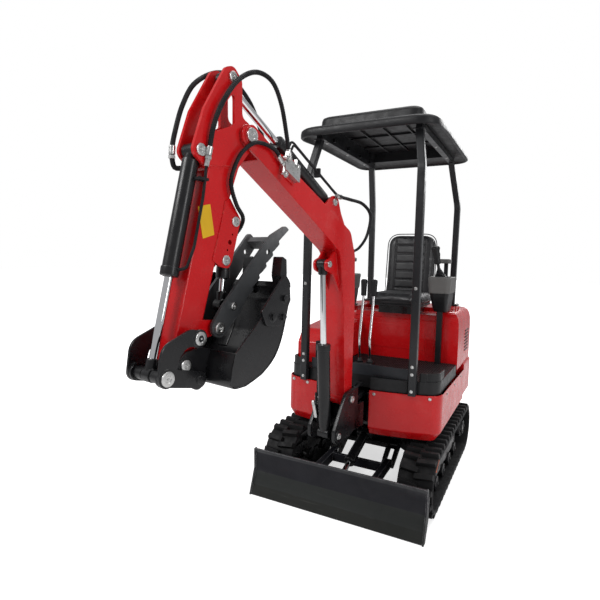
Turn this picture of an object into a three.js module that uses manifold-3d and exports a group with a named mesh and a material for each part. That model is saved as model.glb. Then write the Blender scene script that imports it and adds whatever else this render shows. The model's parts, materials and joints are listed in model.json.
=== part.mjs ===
// A mini excavator of about one tonne on rubber tracks, with a canopy, a swing boom, a quick hitch,
// a bucket and a thumb. Millimetres, +Z up. The machine faces -Y, and +X is its left-hand side.
// Inside the file the slew axis stands at x = 0, y = 0 and the ground is at z = 0. At the end the
// whole model is moved so that its origin is the bottom centre of its bounding box.
import * as THREE from "three";
import { mergeVertices } from "three/addons/utils/BufferGeometryUtils.js";
import Module from "manifold-3d";

const wasm = await Module();
wasm.setup();

// ---------------------------------------------------------------- driving dimensions

const GAP = 0.3; // between pieces that touch
const SLOT = 5; // at each side of a boss between two ears
const BORE_PLAY = 0.4; // between a pin and its bore, on the radius
const ROUND = 16; // sides of a turned piece

// tracks
const TRACK_CENTRE = 390; // from the middle of the machine to the middle of a track
const TRACK_WIDTH = 180;
const TRACK_RADIUS = 165; // over the lugs at each end
const TRACK_FRONT = -555; // y of the idler's axle
const TRACK_REAR = 425; // y of the sprocket's axle
const LUG_HEIGHT = 22;
const LUG_COUNT = 40;
const BELT = 20; // thickness of the belt under the lugs
const BEAM_HALF = 35; // half the width of a track frame
const BEAM_BOTTOM = 105;
const BEAM_TOP = 205;
const ROLLER_RADIUS = 38;
const ROLLER_COUNT = 4;
const ROLLER_PITCH = 190;
const IDLER_HALF = 28;
const FORK_WALL = 8;
const AXLE_RADIUS = 18;
const DRIVE_RADIUS = 68;

// carbody and slew ring
const PEDESTAL_RADIUS = 212;
const PEDESTAL_TOP = 322;
const RING_RADIUS = 198;
const RING_BORE = 130;
const RING_HEIGHT = 50;

// dozer blade
const BLADE_WIDTH = 960;
const BLADE_HEIGHT = 249;
const BLADE_FRONT = -800; // y of the upright part of the mouldboard
const BLADE_PLATE = 10;
const BLADE_PIVOT = [-400, 150]; // y and z
const BLADE_ARM_X = 165;
const BLADE_ARM_HALF = 16;
const BLADE_ARM_DEPTH = 54;
const BLADE_TIE = [-470, -450, 122, 172]; // the plate between the arms: y, then z
const BLADE_BASE_PIN = [-330, 275];
const BLADE_ROD_PIN = [-714, 150];

// upper structure
const HOUSE_HALF = 458; // half the width over the skirts
const HOUSE_FRONT = 560; // from the slew axis to the middle of the front
const HOUSE_CORNER = 479; // from the slew axis to the front corners
const TAIL_RADIUS = 760;
const SKIRT_BOTTOM = 357;
const SKIRT_TOP = 605;
const SKIRT_WALL = 8;
const DECK_INSET = 26; // from the skirts to the deck, whose edge stays hidden behind them
const SKIRT_REAR = 300; // y where the skirts meet the counterweight
const NOTCH_HALF = 92; // from the middle to the skirt on the left of the swing bracket
const SWING_NOTCH = 150; // the same on the right, where the swing cylinder passes
const COUNTERWEIGHT_TOP = 640;
const COUNTERWEIGHT_DEPTH = 110;
const DECK = 20;
const FLOOR_TOP = 675;
const FLOOR_REAR = 60;
const HOOD_FRONT = FLOOR_REAR + GAP; // y of the hood's side wings
const KICK_HEIGHT = 60;
const KICK_Y = -493; // rear face of the kick panel
const HOOD_TOP = 1000;
const HOOD_WALL = 6;
const HOOD_INSET = 10;
const SEAT_BOX = { x0: -232, x1: 302, y1: 330, top: 975 };
const ENGINE = { x: 210, y0: 370, y1: 585, z0: 420, z1: 820 };
const COVER = { x1: -190, y0: -400, top: 880 };

// seat and controls
const SEAT_X = 62;
const SEAT_WIDTH = 360;
const SEAT_FRONT = -80;
const SEAT_REAR = 270;
const CUSHION_BOTTOM = 1032;
const CUSHION_TOP = 1118;
const BACK_TOP = 1505;
const BACK_THICK = 70;
const BACK_LEAN = 55; // how far the top of the back lies behind its foot
const POD_INNER = 268; // from the middle of the machine to the inner side of a console
const POD_WIDTH = 138;
const POD_FRONT = -70;
const POD_REAR = 170;
const POD_BOTTOM = 1004;
const POD_TOP = 1225;
const STICK_TOP = 1400;

// canopy
const POST = 40; // the front posts' square tube
const REAR_POST = 40;
const POST_X = 318;
const POST_Y = -530;
const POST_BEND_Z = 1790;
const POST_TOP_X = 283;
const POST_TOP_Y = -470;
const REAR_X = 312;
const REAR_Y = 575;
const REAR_BEND_X = 318;
const REAR_BEND_Z = 1710;
const REAR_TOP_X = 286;
const REAR_TOP_Y = 430;
const ROOF_BOTTOM = 1990;
const ROOF_TOP = 2042;
const ROOF_SKIN = 14;
const ROOF_FRONT = -585;
const ROOF_REAR = 530;
const ROOF_HALF = 395;
const BUMP_HEIGHT = 76;
const BUMP_FRONT = 100; // from the roof's front edge to the raised middle
const BUMP_SIDE = 100; // the same at each side
const BUMP_REAR = 130; // the same at the rear
const RAIL = 34;

// swing bracket: F is the distance forward of the swing pin, so a point is [F, z]
const SWING_Y = -640;
const SWING_ANGLE = 8.8; // how far the boom is swung to the machine's right as it stands
const SWING_PIN_RADIUS = 21;
const CLAMP_BAR = 654; // top of the bar that carries the hoses between the bracket's ears
const LUG_BOTTOM = 405;
const LUG_TOP = 583;
const LUG_PLATE = 24;
const LUG_HALF = 50; // half the width of the lugs at the swing pin
const HUB_RADIUS = 46;
const BRACKET_EAR = 18;

// boom, arm, links, bucket and thumb: the pins as [F, z] in the parked pose
const BOOM_FOOT = [96, 600];
const BOOM_BASE_PIN = [216, 440]; // the boom cylinder on the bracket
const BOOM_ROD_PIN = [277, 1285]; // the boom cylinder on the boom
const ARM_BASE_PIN = [267, 1573]; // the arm cylinder on the boom
const BOOM_TIP = [854, 1743]; // the boom and the arm
const ARM_ROD_PIN = [934, 1926]; // the arm cylinder on the arm
const BUCKET_BASE_PIN = [1074, 1651]; // the bucket cylinder on the arm
const LINK_PIN = [1110, 1035]; // the tipping links on the arm
const ROD_PIN = [1240, 925]; // the bucket cylinder and both links
const BUCKET_PIN = [1150, 948]; // the hitch on the arm
const HITCH_PIN = [1098, 893]; // the bucket link on the hitch
const THUMB_PIN = [1007, 1056];
const THUMB_ROD_PIN = [940, 1129];
const THUMB_BASE_PIN = [911, 1431];
const THUMB_SPARE_PIN = [957, 1291];

const BOOM_WALL = 11; // thickness of the fork's plates
const EAR = 13; // thickness of the ears that hold cylinders
const BOOM_ROD_HALF = 20; // half the width of a rod's eye
const ARM_HALF = 42;
const BOOM_HALF = ARM_HALF + SLOT + BOOM_WALL; // half the width of the boom, whose fork holds the arm
const HORN_PLATE = 12;
const PIN_RADIUS = 14;
const HITCH_PLATE = 12;
const LINK_PLATE = 10;
const BUCKET_HALF = 180;
const BUCKET_WALL = 8;
const THUMB_INNER = ARM_HALF + 11; // from the middle to the inner side of a thumb plate
const THUMB_PLATE = 12;
const THUMB_LENGTH = 528;
const THUMB_SHORT = 445; // the plate on the machine's right, which has no hook

// cylinders: the barrel's length is from its pin to its gland, and the rod's from its eye to its end
const CYLINDERS = {
  boom: { base: BOOM_BASE_PIN, eye: BOOM_ROD_PIN, barrel: 455, rod: 500, bore: 31, shaft: 15 },
  arm: { base: ARM_BASE_PIN, eye: ARM_ROD_PIN, barrel: 425, rod: 410, bore: 31, shaft: 15 },
  bucket: { base: BUCKET_BASE_PIN, eye: ROD_PIN, barrel: 425, rod: 450, bore: 28, shaft: 14 },
  thumb: { base: THUMB_BASE_PIN, eye: THUMB_ROD_PIN, barrel: 205, rod: 180, bore: 22, shaft: 11 },
};

// swing cylinder, level, between its clevis on the base frame and the lever on the bracket
const SWING_BASE = [-170, -230]; // x and y
const LEVER = 100; // from the swing pin to the lever's eye
const LEVER_ANGLE = 95; // from the boom's direction round to the lever, in plan
const SWING_LEVEL = 494;
const SWING_BARREL = 235;
const SWING_ROD = 225;
const SWING_BORE = 26;
const SWING_SHAFT = 13;
const SWING_EYE = 18; // half the height of the rod's eye

const BLADE_CYLINDER = {
  base: BLADE_BASE_PIN,
  eye: BLADE_ROD_PIN,
  barrel: 270,
  rod: 260,
  bore: 28,
  shaft: 14,
};

// ---------------------------------------------------------------- solids

// A closed geometry as a solid that can be joined and cut.
function solid(geometry) {
  const bare = geometry.index ? geometry.toNonIndexed() : geometry.clone();
  bare.deleteAttribute("normal");
  bare.deleteAttribute("uv");
  const merged = mergeVertices(bare, 1e-3);
  return new wasm.Manifold(
    new wasm.Mesh({
      numProp: 3,
      vertProperties: new Float32Array(merged.attributes.position.array),
      triVerts: new Uint32Array(merged.index.array),
    }),
  );
}

// A solid back as a geometry with flat faces.
function geometryOf(shape) {
  const mesh = shape.getMesh();
  const geometry = new THREE.BufferGeometry();
  const positions = new Float32Array(mesh.vertProperties);
  geometry.setAttribute("position", new THREE.BufferAttribute(positions, 3));
  geometry.setIndex(new THREE.BufferAttribute(new Uint32Array(mesh.triVerts), 1));
  const flat = geometry.toNonIndexed();
  flat.computeVertexNormals();
  return flat;
}

const join = (...parts) => parts.reduce((a, b) => a.add(b));
const cut = (body, ...tools) => tools.reduce((a, b) => a.subtract(b), body);

// A block between two corners.
function block(x0, x1, y0, y1, z0, z1) {
  const box = new THREE.BoxGeometry(x1 - x0, y1 - y0, z1 - z0);
  return solid(box.translate((x0 + x1) / 2, (y0 + y1) / 2, (z0 + z1) / 2));
}

// A shape drawn through corners [a, b, radius], where the radius rounds the corner.
function outline(corners) {
  const shape = new THREE.Shape();
  corners.forEach(([a, b, radius = 0], i) => {
    const at = new THREE.Vector2(a, b);
    const before = corners[(i + corners.length - 1) % corners.length];
    const after = corners[(i + 1) % corners.length];
    const back = new THREE.Vector2(before[0], before[1]).sub(at);
    const on = new THREE.Vector2(after[0], after[1]).sub(at);
    const move = i ? "lineTo" : "moveTo";
    if (!radius) {
      shape[move](a, b);
      return;
    }
    const half = Math.acos(back.clone().normalize().dot(on.clone().normalize())) / 2;
    const reach = Math.min(radius / Math.tan(half), 0.49 * Math.min(back.length(), on.length()));
    const start = at.clone().addScaledVector(back.normalize(), reach);
    const end = at.clone().addScaledVector(on.normalize(), reach);
    shape[move](start.x, start.y);
    shape.quadraticCurveTo(a, b, end.x, end.y);
  });
  shape.closePath();
  return shape;
}

// Extrudes a shape of [y, z] across the machine, from x0 to x1.
function slab(shape, x0, x1, curveSegments = 2) {
  const geometry = new THREE.ExtrudeGeometry(shape, {
    depth: x1 - x0,
    bevelEnabled: false,
    curveSegments,
  });
  const turned = new THREE.Matrix4().makeBasis(
    new THREE.Vector3(0, 1, 0),
    new THREE.Vector3(0, 0, 1),
    new THREE.Vector3(1, 0, 0),
  );
  return solid(geometry.applyMatrix4(turned).translate(x0, 0, 0));
}

// Extrudes a plan shape of [x, y] upwards, from z0 to z1.
function deck(shape, z0, z1, curveSegments = 2) {
  const geometry = new THREE.ExtrudeGeometry(shape, {
    depth: z1 - z0,
    bevelEnabled: false,
    curveSegments,
  });
  return solid(geometry.translate(0, 0, z0));
}

// Extrudes a front-view shape of [x, z] along the machine, from y0 to y1.
function across(shape, y0, y1) {
  const geometry = new THREE.ExtrudeGeometry(shape, { depth: y1 - y0, bevelEnabled: false });
  return solid(geometry.rotateX(Math.PI / 2).translate(0, y1, 0));
}

// A round bar between two points.
function bar(from, to, radius, sides = ROUND, endRadius = radius) {
  const a = new THREE.Vector3(...from);
  const b = new THREE.Vector3(...to);
  const geometry = new THREE.CylinderGeometry(endRadius, radius, a.distanceTo(b), sides);
  const turn = new THREE.Quaternion().setFromUnitVectors(
    new THREE.Vector3(0, 1, 0),
    b.clone().sub(a).normalize(),
  );
  const middle = a.add(b).multiplyScalar(0.5);
  return solid(geometry.applyQuaternion(turn).translate(middle.x, middle.y, middle.z));
}

// A square tube's outer solid between two points, with its sides facing X and Y.
function post([x0, y0, z0], [x1, y1, z1], side) {
  const geometry = new THREE.BoxGeometry(side, side, 1);
  const at = geometry.attributes.position;
  for (let i = 0; i < at.count; i++) {
    const top = at.getZ(i) > 0;
    at.setXYZ(i, at.getX(i) + (top ? x1 : x0), at.getY(i) + (top ? y1 : y0), top ? z1 : z0);
  }
  return solid(geometry);
}

// A round bar across the machine at [y, z].
const pin = ([y, z], radius, x0, x1, sides = ROUND) => bar([x0, y, z], [x1, y, z], radius, sides);

// The radius of a bore whose flats clear the corners of the pin that turns in it.
const bored = (radius) => (radius + BORE_PLAY) / Math.cos(Math.PI / ROUND);

// The outline around two circles, [a, b, radius] each.
function eyeShape([aa, ba, ra], [ab, bb, rb]) {
  const length = Math.hypot(ab - aa, bb - ba);
  const along = Math.atan2(bb - ba, ab - aa);
  const spread = Math.acos((ra - rb) / length);
  const shape = new THREE.Shape();
  shape.absarc(aa, ba, ra, along + spread, along - spread + 2 * Math.PI, false);
  shape.absarc(ab, bb, rb, along - spread, along + spread, false);
  shape.closePath();
  return shape;
}

// A plate around two circles, [y, z, radius] each, from x0 to x1.
const strap = (a, b, x0, x1) => slab(eyeShape(a, b), x0, x1, 5);

// A tube of round section along points.
function tube(points, radius, steps, sides = 8) {
  const ring = new THREE.Shape();
  for (let i = 0; i < sides; i++) {
    const angle = (2 * Math.PI * i) / sides;
    ring[i ? "lineTo" : "moveTo"](radius * Math.cos(angle), radius * Math.sin(angle));
  }
  ring.closePath();
  const path = new THREE.CatmullRomCurve3(points.map((p) => new THREE.Vector3(...p)));
  return solid(
    new THREE.ExtrudeGeometry(ring, { extrudePath: path, steps, bevelEnabled: false }),
  );
}

const both = (make) => join(make(1), make(-1));
// A block between |x| = a and |x| = b on the side that sign says.
const sided = (sign, a, b) => (sign > 0 ? [a, b] : [-b, -a]);

// ---------------------------------------------------------------- materials and meshes

const PAINTS = {
  red: { color: 0xc4161c, roughness: 0.32, metalness: 0.1 },
  black: { color: 0x17181a, roughness: 0.45, metalness: 0.1 },
  grey: { color: 0x33363a, roughness: 0.5, metalness: 0.1 },
  rubber: { color: 0x1c1c1d, roughness: 0.85, metalness: 0 },
  plastic: { color: 0x1b1c1e, roughness: 0.6, metalness: 0 },
  pod: { color: 0x6f7173, roughness: 0.6, metalness: 0 },
  chrome: { color: 0xd8dadc, roughness: 0.12, metalness: 1 },
  steel: { color: 0x9b9da0, roughness: 0.35, metalness: 1 },
  vinyl: { color: 0x202124, roughness: 0.7, metalness: 0 },
  hose: { color: 0x111112, roughness: 0.6, metalness: 0 },
  casting: { color: 0x6b6d70, roughness: 0.7, metalness: 0.4 },
};

const machine = new THREE.Group();

// Adds a solid to a group as a named mesh.
function add(group, name, shape, paint) {
  const mesh = new THREE.Mesh(geometryOf(shape), new THREE.MeshStandardMaterial(PAINTS[paint]));
  mesh.name = name;
  group.add(mesh);
}

// ---------------------------------------------------------------- tracks

// A point of a loop round the idler and the sprocket, s along it and radius from their axles.
function loopPoint(s, radius, baseRadius) {
  const straight = TRACK_REAR - TRACK_FRONT;
  const turn = Math.PI * baseRadius;
  const z = TRACK_RADIUS;
  let rest = s;
  if (rest <= straight) return [TRACK_FRONT + rest, z - radius];
  rest -= straight;
  if (rest <= turn) {
    const angle = rest / baseRadius - Math.PI / 2;
    return [TRACK_REAR + radius * Math.cos(angle), z + radius * Math.sin(angle)];
  }
  rest -= turn;
  if (rest <= straight) return [TRACK_REAR - rest, z + radius];
  rest -= straight;
  const angle = rest / baseRadius + Math.PI / 2;
  return [TRACK_FRONT + radius * Math.cos(angle), z + radius * Math.sin(angle)];
}

const BELT_RADIUS = TRACK_RADIUS - LUG_HEIGHT;
const INNER_RADIUS = BELT_RADIUS - BELT;

// A belt with its lugs, as one closed loop.
function track(sign) {
  const length = 2 * (TRACK_REAR - TRACK_FRONT) + 2 * Math.PI * BELT_RADIUS;
  const pitch = length / LUG_COUNT;
  const profile = [
    [0.1, BELT_RADIUS],
    [0.2, TRACK_RADIUS],
    [0.52, TRACK_RADIUS],
    [0.62, BELT_RADIUS],
  ];
  const outer = [];
  for (let i = 0; i < LUG_COUNT; i++) {
    for (const [share, radius] of profile) {
      outer.push(new THREE.Vector2(...loopPoint((i + share) * pitch, radius, BELT_RADIUS)));
    }
  }
  const shape = new THREE.Shape(outer);
  const hole = new THREE.Path();
  hole.absarc(TRACK_REAR, TRACK_RADIUS, INNER_RADIUS, -Math.PI / 2, Math.PI / 2, false);
  hole.absarc(TRACK_FRONT, TRACK_RADIUS, INNER_RADIUS, Math.PI / 2, 1.5 * Math.PI, false);
  hole.closePath();
  shape.holes.push(hole);
  const half = TRACK_WIDTH / 2;
  return slab(shape, sign * TRACK_CENTRE - half, sign * TRACK_CENTRE + half, 10);
}

// The beam of a track frame with its idler and fork, its drive plate and its rollers.
function trackFrame(sign) {
  const x = sign * TRACK_CENTRE;
  const axle = [TRACK_FRONT, TRACK_RADIUS];
  const forkOut = IDLER_HALF + GAP + FORK_WALL;
  const drivePlate = sided(sign, TRACK_CENTRE - 84, TRACK_CENTRE - 72);
  const parts = [
    block(x - BEAM_HALF, x + BEAM_HALF, TRACK_FRONT + 150, TRACK_REAR - 150, BEAM_BOTTOM, BEAM_TOP),
    pin(axle, AXLE_RADIUS, x - forkOut, x + forkOut),
    idler(sign),
    slab(
      outline([
        [TRACK_REAR - 190, BEAM_BOTTOM],
        [TRACK_REAR + 20, 85, 30],
        [TRACK_REAR + 75, TRACK_RADIUS, 40],
        [TRACK_REAR + 20, 245, 30],
        [TRACK_REAR - 190, BEAM_TOP],
      ]),
      ...drivePlate,
    ),
    block(
      ...sided(sign, TRACK_CENTRE - 84, TRACK_CENTRE),
      TRACK_REAR - 190,
      TRACK_REAR - 150,
      BEAM_BOTTOM,
      BEAM_TOP,
    ),
  ];
  for (const side of [1, -1]) {
    const inner = x + side * (IDLER_HALF + GAP);
    const outer = x + side * forkOut;
    const wall = [Math.min(inner, outer), Math.max(inner, outer)];
    parts.push(
      block(...wall, TRACK_FRONT - 30, TRACK_FRONT + 160, TRACK_RADIUS - 26, TRACK_RADIUS + 26),
    );
  }
  const rollerZ = TRACK_RADIUS - INNER_RADIUS + ROLLER_RADIUS + GAP;
  const first = (TRACK_FRONT + TRACK_REAR - (ROLLER_COUNT - 1) * ROLLER_PITCH) / 2;
  for (let i = 0; i < ROLLER_COUNT; i++) {
    const at = [first + i * ROLLER_PITCH, rollerZ];
    parts.push(pin(at, ROLLER_RADIUS, x - 46, x - 12, 16));
    parts.push(pin(at, ROLLER_RADIUS, x + 12, x + 46, 16));
    parts.push(pin(at, ROLLER_RADIUS - 12, x - 13, x + 13, 12));
    parts.push(block(x - 12, x + 12, at[0] - 20, at[0] + 20, rollerZ, BEAM_BOTTOM + 1));
  }
  const carrierRadius = 26;
  const carrier = [(TRACK_FRONT + TRACK_REAR) / 2, TRACK_RADIUS + INNER_RADIUS - GAP - carrierRadius];
  parts.push(pin(carrier, carrierRadius, x - 26, x + 26, 16));
  parts.push(
    block(x - 10, x + 10, carrier[0] - 24, carrier[0] + 24, BEAM_TOP - 1, carrier[1] - 6),
  );
  return join(...parts);
}

// The front idler: a wheel with a raised middle on the fork's axle.
function idler(sign) {
  const x = sign * TRACK_CENTRE;
  const at = [TRACK_FRONT, TRACK_RADIUS];
  return join(
    pin(at, INNER_RADIUS - 14, x - IDLER_HALF, x + IDLER_HALF, 28),
    pin(at, INNER_RADIUS - 3, x - 14, x + 14, 28),
  );
}

// The rear sprocket with its hydraulic final drive.
function sprocket(sign) {
  const teeth = 11;
  const shape = new THREE.Shape();
  const ring = [
    [0, INNER_RADIUS - 26],
    [0.2, INNER_RADIUS - 3],
    [0.5, INNER_RADIUS - 3],
    [0.7, INNER_RADIUS - 26],
  ];
  for (let i = 0; i < teeth; i++) {
    ring.forEach(([share, radius], k) => {
      const angle = ((i + share) / teeth) * 2 * Math.PI;
      const y = TRACK_REAR + radius * Math.cos(angle);
      const z = TRACK_RADIUS + radius * Math.sin(angle);
      shape[i + k ? "lineTo" : "moveTo"](y, z);
    });
  }
  shape.closePath();
  const at = [TRACK_REAR, TRACK_RADIUS];
  const x = sign * TRACK_CENTRE;
  const drum = sided(sign, TRACK_CENTRE - 72 + GAP, TRACK_CENTRE + 52);
  const cover = sided(sign, TRACK_CENTRE + 50, TRACK_CENTRE + 66);
  return join(
    slab(shape, x - 14, x + 14),
    pin(at, DRIVE_RADIUS, ...drum, 28),
    pin(at, DRIVE_RADIUS - 22, ...cover, 20),
  );
}

// ---------------------------------------------------------------- carbody, ring and blade

// The welded middle of the undercarriage: pedestal, four legs and the blade's lugs.
function carbody() {
  const beam = TRACK_CENTRE - BEAM_HALF - GAP;
  const leg = outline([
    [120, PEDESTAL_TOP - 10],
    [PEDESTAL_RADIUS, PEDESTAL_TOP - 10, 20],
    [beam, BEAM_TOP - 5],
    [beam, BEAM_BOTTOM + 15],
    [beam - 60, BEAM_BOTTOM + 15, 20],
    [120, 200],
  ]);
  const mirrored = outline([
    [-120, 200],
    [60 - beam, BEAM_BOTTOM + 15, 20],
    [-beam, BEAM_BOTTOM + 15],
    [-beam, BEAM_TOP - 5],
    [-PEDESTAL_RADIUS, PEDESTAL_TOP - 10, 20],
    [-120, PEDESTAL_TOP - 10],
  ]);
  const parts = [
    bar([0, 0, 200], [0, 0, PEDESTAL_TOP], PEDESTAL_RADIUS, 36),
    block(-190, 190, -290, 220, 196, 226),
  ];
  for (const y of [-190, 120]) {
    parts.push(across(leg, y, y + 70), across(mirrored, y, y + 70));
  }
  const [pivotY, pivotZ] = BLADE_PIVOT;
  for (const sign of [1, -1]) {
    for (const side of [1, -1]) {
      const near = BLADE_ARM_HALF + SLOT;
      const a = sign * BLADE_ARM_X + side * near;
      const b = sign * BLADE_ARM_X + side * (near + 10);
      parts.push(
        slab(
          outline([
            [-250, 226],
            [-250, 196],
            [pivotY + 10, pivotZ - 30, 20],
            [pivotY - 30, pivotZ - 4, 24],
            [pivotY - 4, pivotZ + 30, 24],
            [pivotY + 60, 226, 20],
          ]),
          Math.min(a, b),
          Math.max(a, b),
        ),
      );
    }
  }
  const [baseY, baseZ] = BLADE_BASE_PIN;
  const near = BLADE_CYLINDER.bore + SLOT;
  for (const x of [near, -near - 12]) {
    parts.push(strap([baseY, baseZ, 24], [-180, 262, 50], x, x + 12));
  }
  parts.push(pin(BLADE_BASE_PIN, PIN_RADIUS, -near - 16, near + 16));
  return cut(
    join(...parts),
    pin(BLADE_PIVOT, bored(PIN_RADIUS), -240, 240),
    bar([0, 0, 180], [0, 0, 340], 60, 24),
  );
}

// The ring that the upper structure turns on.
function slewRing() {
  const bottom = PEDESTAL_TOP + GAP;
  return cut(
    join(
      bar([0, 0, bottom], [0, 0, bottom + RING_HEIGHT], RING_RADIUS, 36),
      bar([0, 0, bottom + 16], [0, 0, bottom + 30], RING_RADIUS + 8, 36),
    ),
    bar([0, 0, bottom - 10], [0, 0, bottom + 80], RING_BORE, 36),
  );
}
const RING_TOP = PEDESTAL_TOP + GAP + RING_HEIGHT;

// The mouldboard with its end plates, its back beam, its push arms and their pivot pins.
function blade() {
  const half = BLADE_WIDTH / 2;
  const face = [
    [BLADE_FRONT - 10, BLADE_HEIGHT],
    [BLADE_FRONT, BLADE_HEIGHT - 22],
    [BLADE_FRONT, 122],
    [BLADE_FRONT - 22, 50],
    [BLADE_FRONT - 50, 2],
  ];
  const back = face.map(([y, z]) => [y + BLADE_PLATE, z]).reverse();
  const end = [
    [BLADE_FRONT - 12, BLADE_HEIGHT],
    [BLADE_FRONT - 8, 140, 30],
    [BLADE_FRONT - 54, 0],
    [BLADE_FRONT - 20, 0],
    [BLADE_FRONT + 34, 90, 30],
    [BLADE_FRONT + 34, 190, 20],
    [BLADE_FRONT + 8, BLADE_HEIGHT],
  ];
  const parts = [
    slab(outline([...face, ...back]), -half + 1, half - 1),
    block(-half + 40, half - 40, BLADE_FRONT + 5, BLADE_FRONT + 52, 96, 170),
  ];
  for (const sign of [1, -1]) parts.push(slab(outline(end), ...sided(sign, half - 8, half)));
  const [y, z] = BLADE_PIVOT;
  const tail = BLADE_FRONT + 45;
  for (const sign of [1, -1]) {
    const x0 = sign * BLADE_ARM_X - BLADE_ARM_HALF;
    const x1 = sign * BLADE_ARM_X + BLADE_ARM_HALF;
    const depth = BLADE_ARM_DEPTH / 2;
    parts.push(strap([y, z, depth], [tail, 133, depth], x0, x1));
    parts.push(pin(BLADE_PIVOT, PIN_RADIUS, x0 - 18, x1 + 18));
  }
  parts.push(block(-BLADE_ARM_X, BLADE_ARM_X, ...BLADE_TIE));
  const [rodY, rodZ] = BLADE_ROD_PIN;
  for (const x of [22, -22 - 12]) {
    parts.push(strap([rodY, rodZ, 22], [tail - 12, rodZ - 14, 30], x, x + 12));
    parts.push(pin(BLADE_ROD_PIN, 16, x > 0 ? x + 10 : x - 8, x > 0 ? x + 20 : x + 2));
  }
  return join(...parts);
}

// ---------------------------------------------------------------- cylinders

// A barrel along y and z from its eye at base towards eye. The base eye is as wide as the tube.
function barrel({ base, eye, barrel: length, bore, shaft }) {
  const way = new THREE.Vector2(eye[0] - base[0], eye[1] - base[1]).normalize();
  const at = (s) => [0, base[0] + way.x * s, base[1] + way.y * s];
  const foot = PIN_RADIUS + 12;
  return cut(
    join(
      pin(base, foot, -bore, bore),
      bar(at(foot * 0.6), at(length), bore),
      bar(at(length - 26), at(length + 4), bore + 3),
    ),
    pin(base, bored(PIN_RADIUS), -60, 60),
    bar(at(foot + 10), at(length + 30), shaft + 1, 12),
  );
}

// A rod with its eye. wide is half the eye's width.
function rod({ base, eye, rod: length, shaft }, wide) {
  const way = new THREE.Vector2(eye[0] - base[0], eye[1] - base[1]).normalize();
  const at = (s) => [0, eye[0] - way.x * s, eye[1] - way.y * s];
  return join(
    pin(eye, PIN_RADIUS + 10, -wide, wide),
    bar(at(0), at(46), shaft + 7, 12),
    bar(at(0), at(length), shaft, 12),
  );
}

// ---------------------------------------------------------------- upper structure

const frontY = (x) => -HOUSE_FRONT + ((HOUSE_FRONT - HOUSE_CORNER) * x * x) / HOUSE_HALF ** 2;

// Corners of the house's plan from the notch round the left side to y, inset by a wall.
function frontPlan(fromX, toY, inset, radius) {
  const edge = HOUSE_HALF - inset;
  const steps = 4;
  const corners = [];
  for (let i = 0; i <= steps; i++) {
    const x = fromX + ((edge - fromX) * i) / steps;
    corners.push([x, frontY(x) + inset, i === steps ? radius : 0]);
  }
  corners.push([edge, toY]);
  return corners;
}

// Corners of the tail's plan from y on the left side to y on the right side.
function tailPlan(fromY, inset) {
  const edge = HOUSE_HALF - inset;
  const radius = TAIL_RADIUS - inset;
  const reach = Math.acos(edge / radius);
  const corners = [[edge, fromY]];
  const steps = 8;
  for (let i = 0; i <= steps; i++) {
    const angle = reach + ((Math.PI - 2 * reach) * i) / steps;
    const round = i === 0 || i === steps ? 90 : 0;
    corners.push([radius * Math.cos(angle), radius * Math.sin(angle), round]);
  }
  corners.push([-edge, fromY]);
  return corners;
}

const flip = (corners) => corners.map(([x, y, radius]) => [-x, y, radius]).reverse();

// A skirt panel from the notch round the front corner to the counterweight.
function skirt(sign) {
  const from = sign > 0 ? NOTCH_HALF : SWING_NOTCH;
  const outer = frontPlan(from, SKIRT_REAR - GAP, 0, 60);
  const inner = frontPlan(from, SKIRT_REAR - GAP, SKIRT_WALL, 52);
  const ring = [...outer, ...inner.reverse()];
  return deck(outline(sign > 0 ? ring : flip(ring)), SKIRT_BOTTOM, SKIRT_TOP);
}

// The base frame: hub, deck plate, two webs and the swing lugs.
function baseFrame() {
  const inset = SKIRT_WALL + DECK_INSET;
  const front = frontPlan(NOTCH_HALF, SKIRT_REAR, inset, 52);
  const right = flip(frontPlan(SWING_NOTCH, SKIRT_REAR, inset, 52));
  const plan = [...front, ...tailPlan(SKIRT_REAR, inset + 4).slice(1, -1), ...right];
  const lug = outline([
    [-NOTCH_HALF + 6, -384],
    [-LUG_HALF, SWING_Y + 120, 60],
    [-LUG_HALF, SWING_Y - 46, 50],
    [LUG_HALF, SWING_Y - 46, 50],
    [LUG_HALF, SWING_Y + 120, 60],
    [NOTCH_HALF - 6, -384],
  ]);
  const parts = [
    bar([0, 0, RING_TOP + GAP], [0, 0, 410], RING_RADIUS - 8, 36),
    deck(outline(plan), 400, 400 + DECK),
    deck(lug, LUG_BOTTOM, LUG_BOTTOM + LUG_PLATE),
    deck(lug, LUG_TOP - LUG_PLATE, LUG_TOP),
  ];
  for (const sign of [1, -1]) {
    const web = sided(sign, NOTCH_HALF - 22, NOTCH_HALF - 6);
    parts.push(block(...web, sign > 0 ? -520 : -384, FLOOR_REAR - 10, 410, LUG_TOP - 2));
  }
  const [baseX, baseY] = SWING_BASE;
  const eyeTop = SWING_LEVEL + SWING_BORE + SLOT;
  parts.push(
    block(baseX - 34, baseX + 34, baseY - 30, baseY + 40, 410, SWING_LEVEL - SWING_BORE - SLOT),
    block(baseX - 34, -NOTCH_HALF + 10, baseY - 30, baseY + 40, eyeTop, eyeTop + 14),
    bar([baseX, baseY, 450], [baseX, baseY, eyeTop + 10], PIN_RADIUS),
  );
  return cut(
    join(...parts),
    bar([0, SWING_Y, 380], [0, SWING_Y, 620], bored(SWING_PIN_RADIUS)),
    bar([0, 0, 360], [0, 0, 430], 60, 24),
  );
}

// The rear casting under the hood.
function counterweight() {
  const outer = tailPlan(SKIRT_REAR, 0);
  const inner = tailPlan(SKIRT_REAR + 20, COUNTERWEIGHT_DEPTH);
  const ring = outline([...outer, ...inner.reverse()]);
  return deck(ring, 400 + DECK + GAP, COUNTERWEIGHT_TOP);
}

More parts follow.
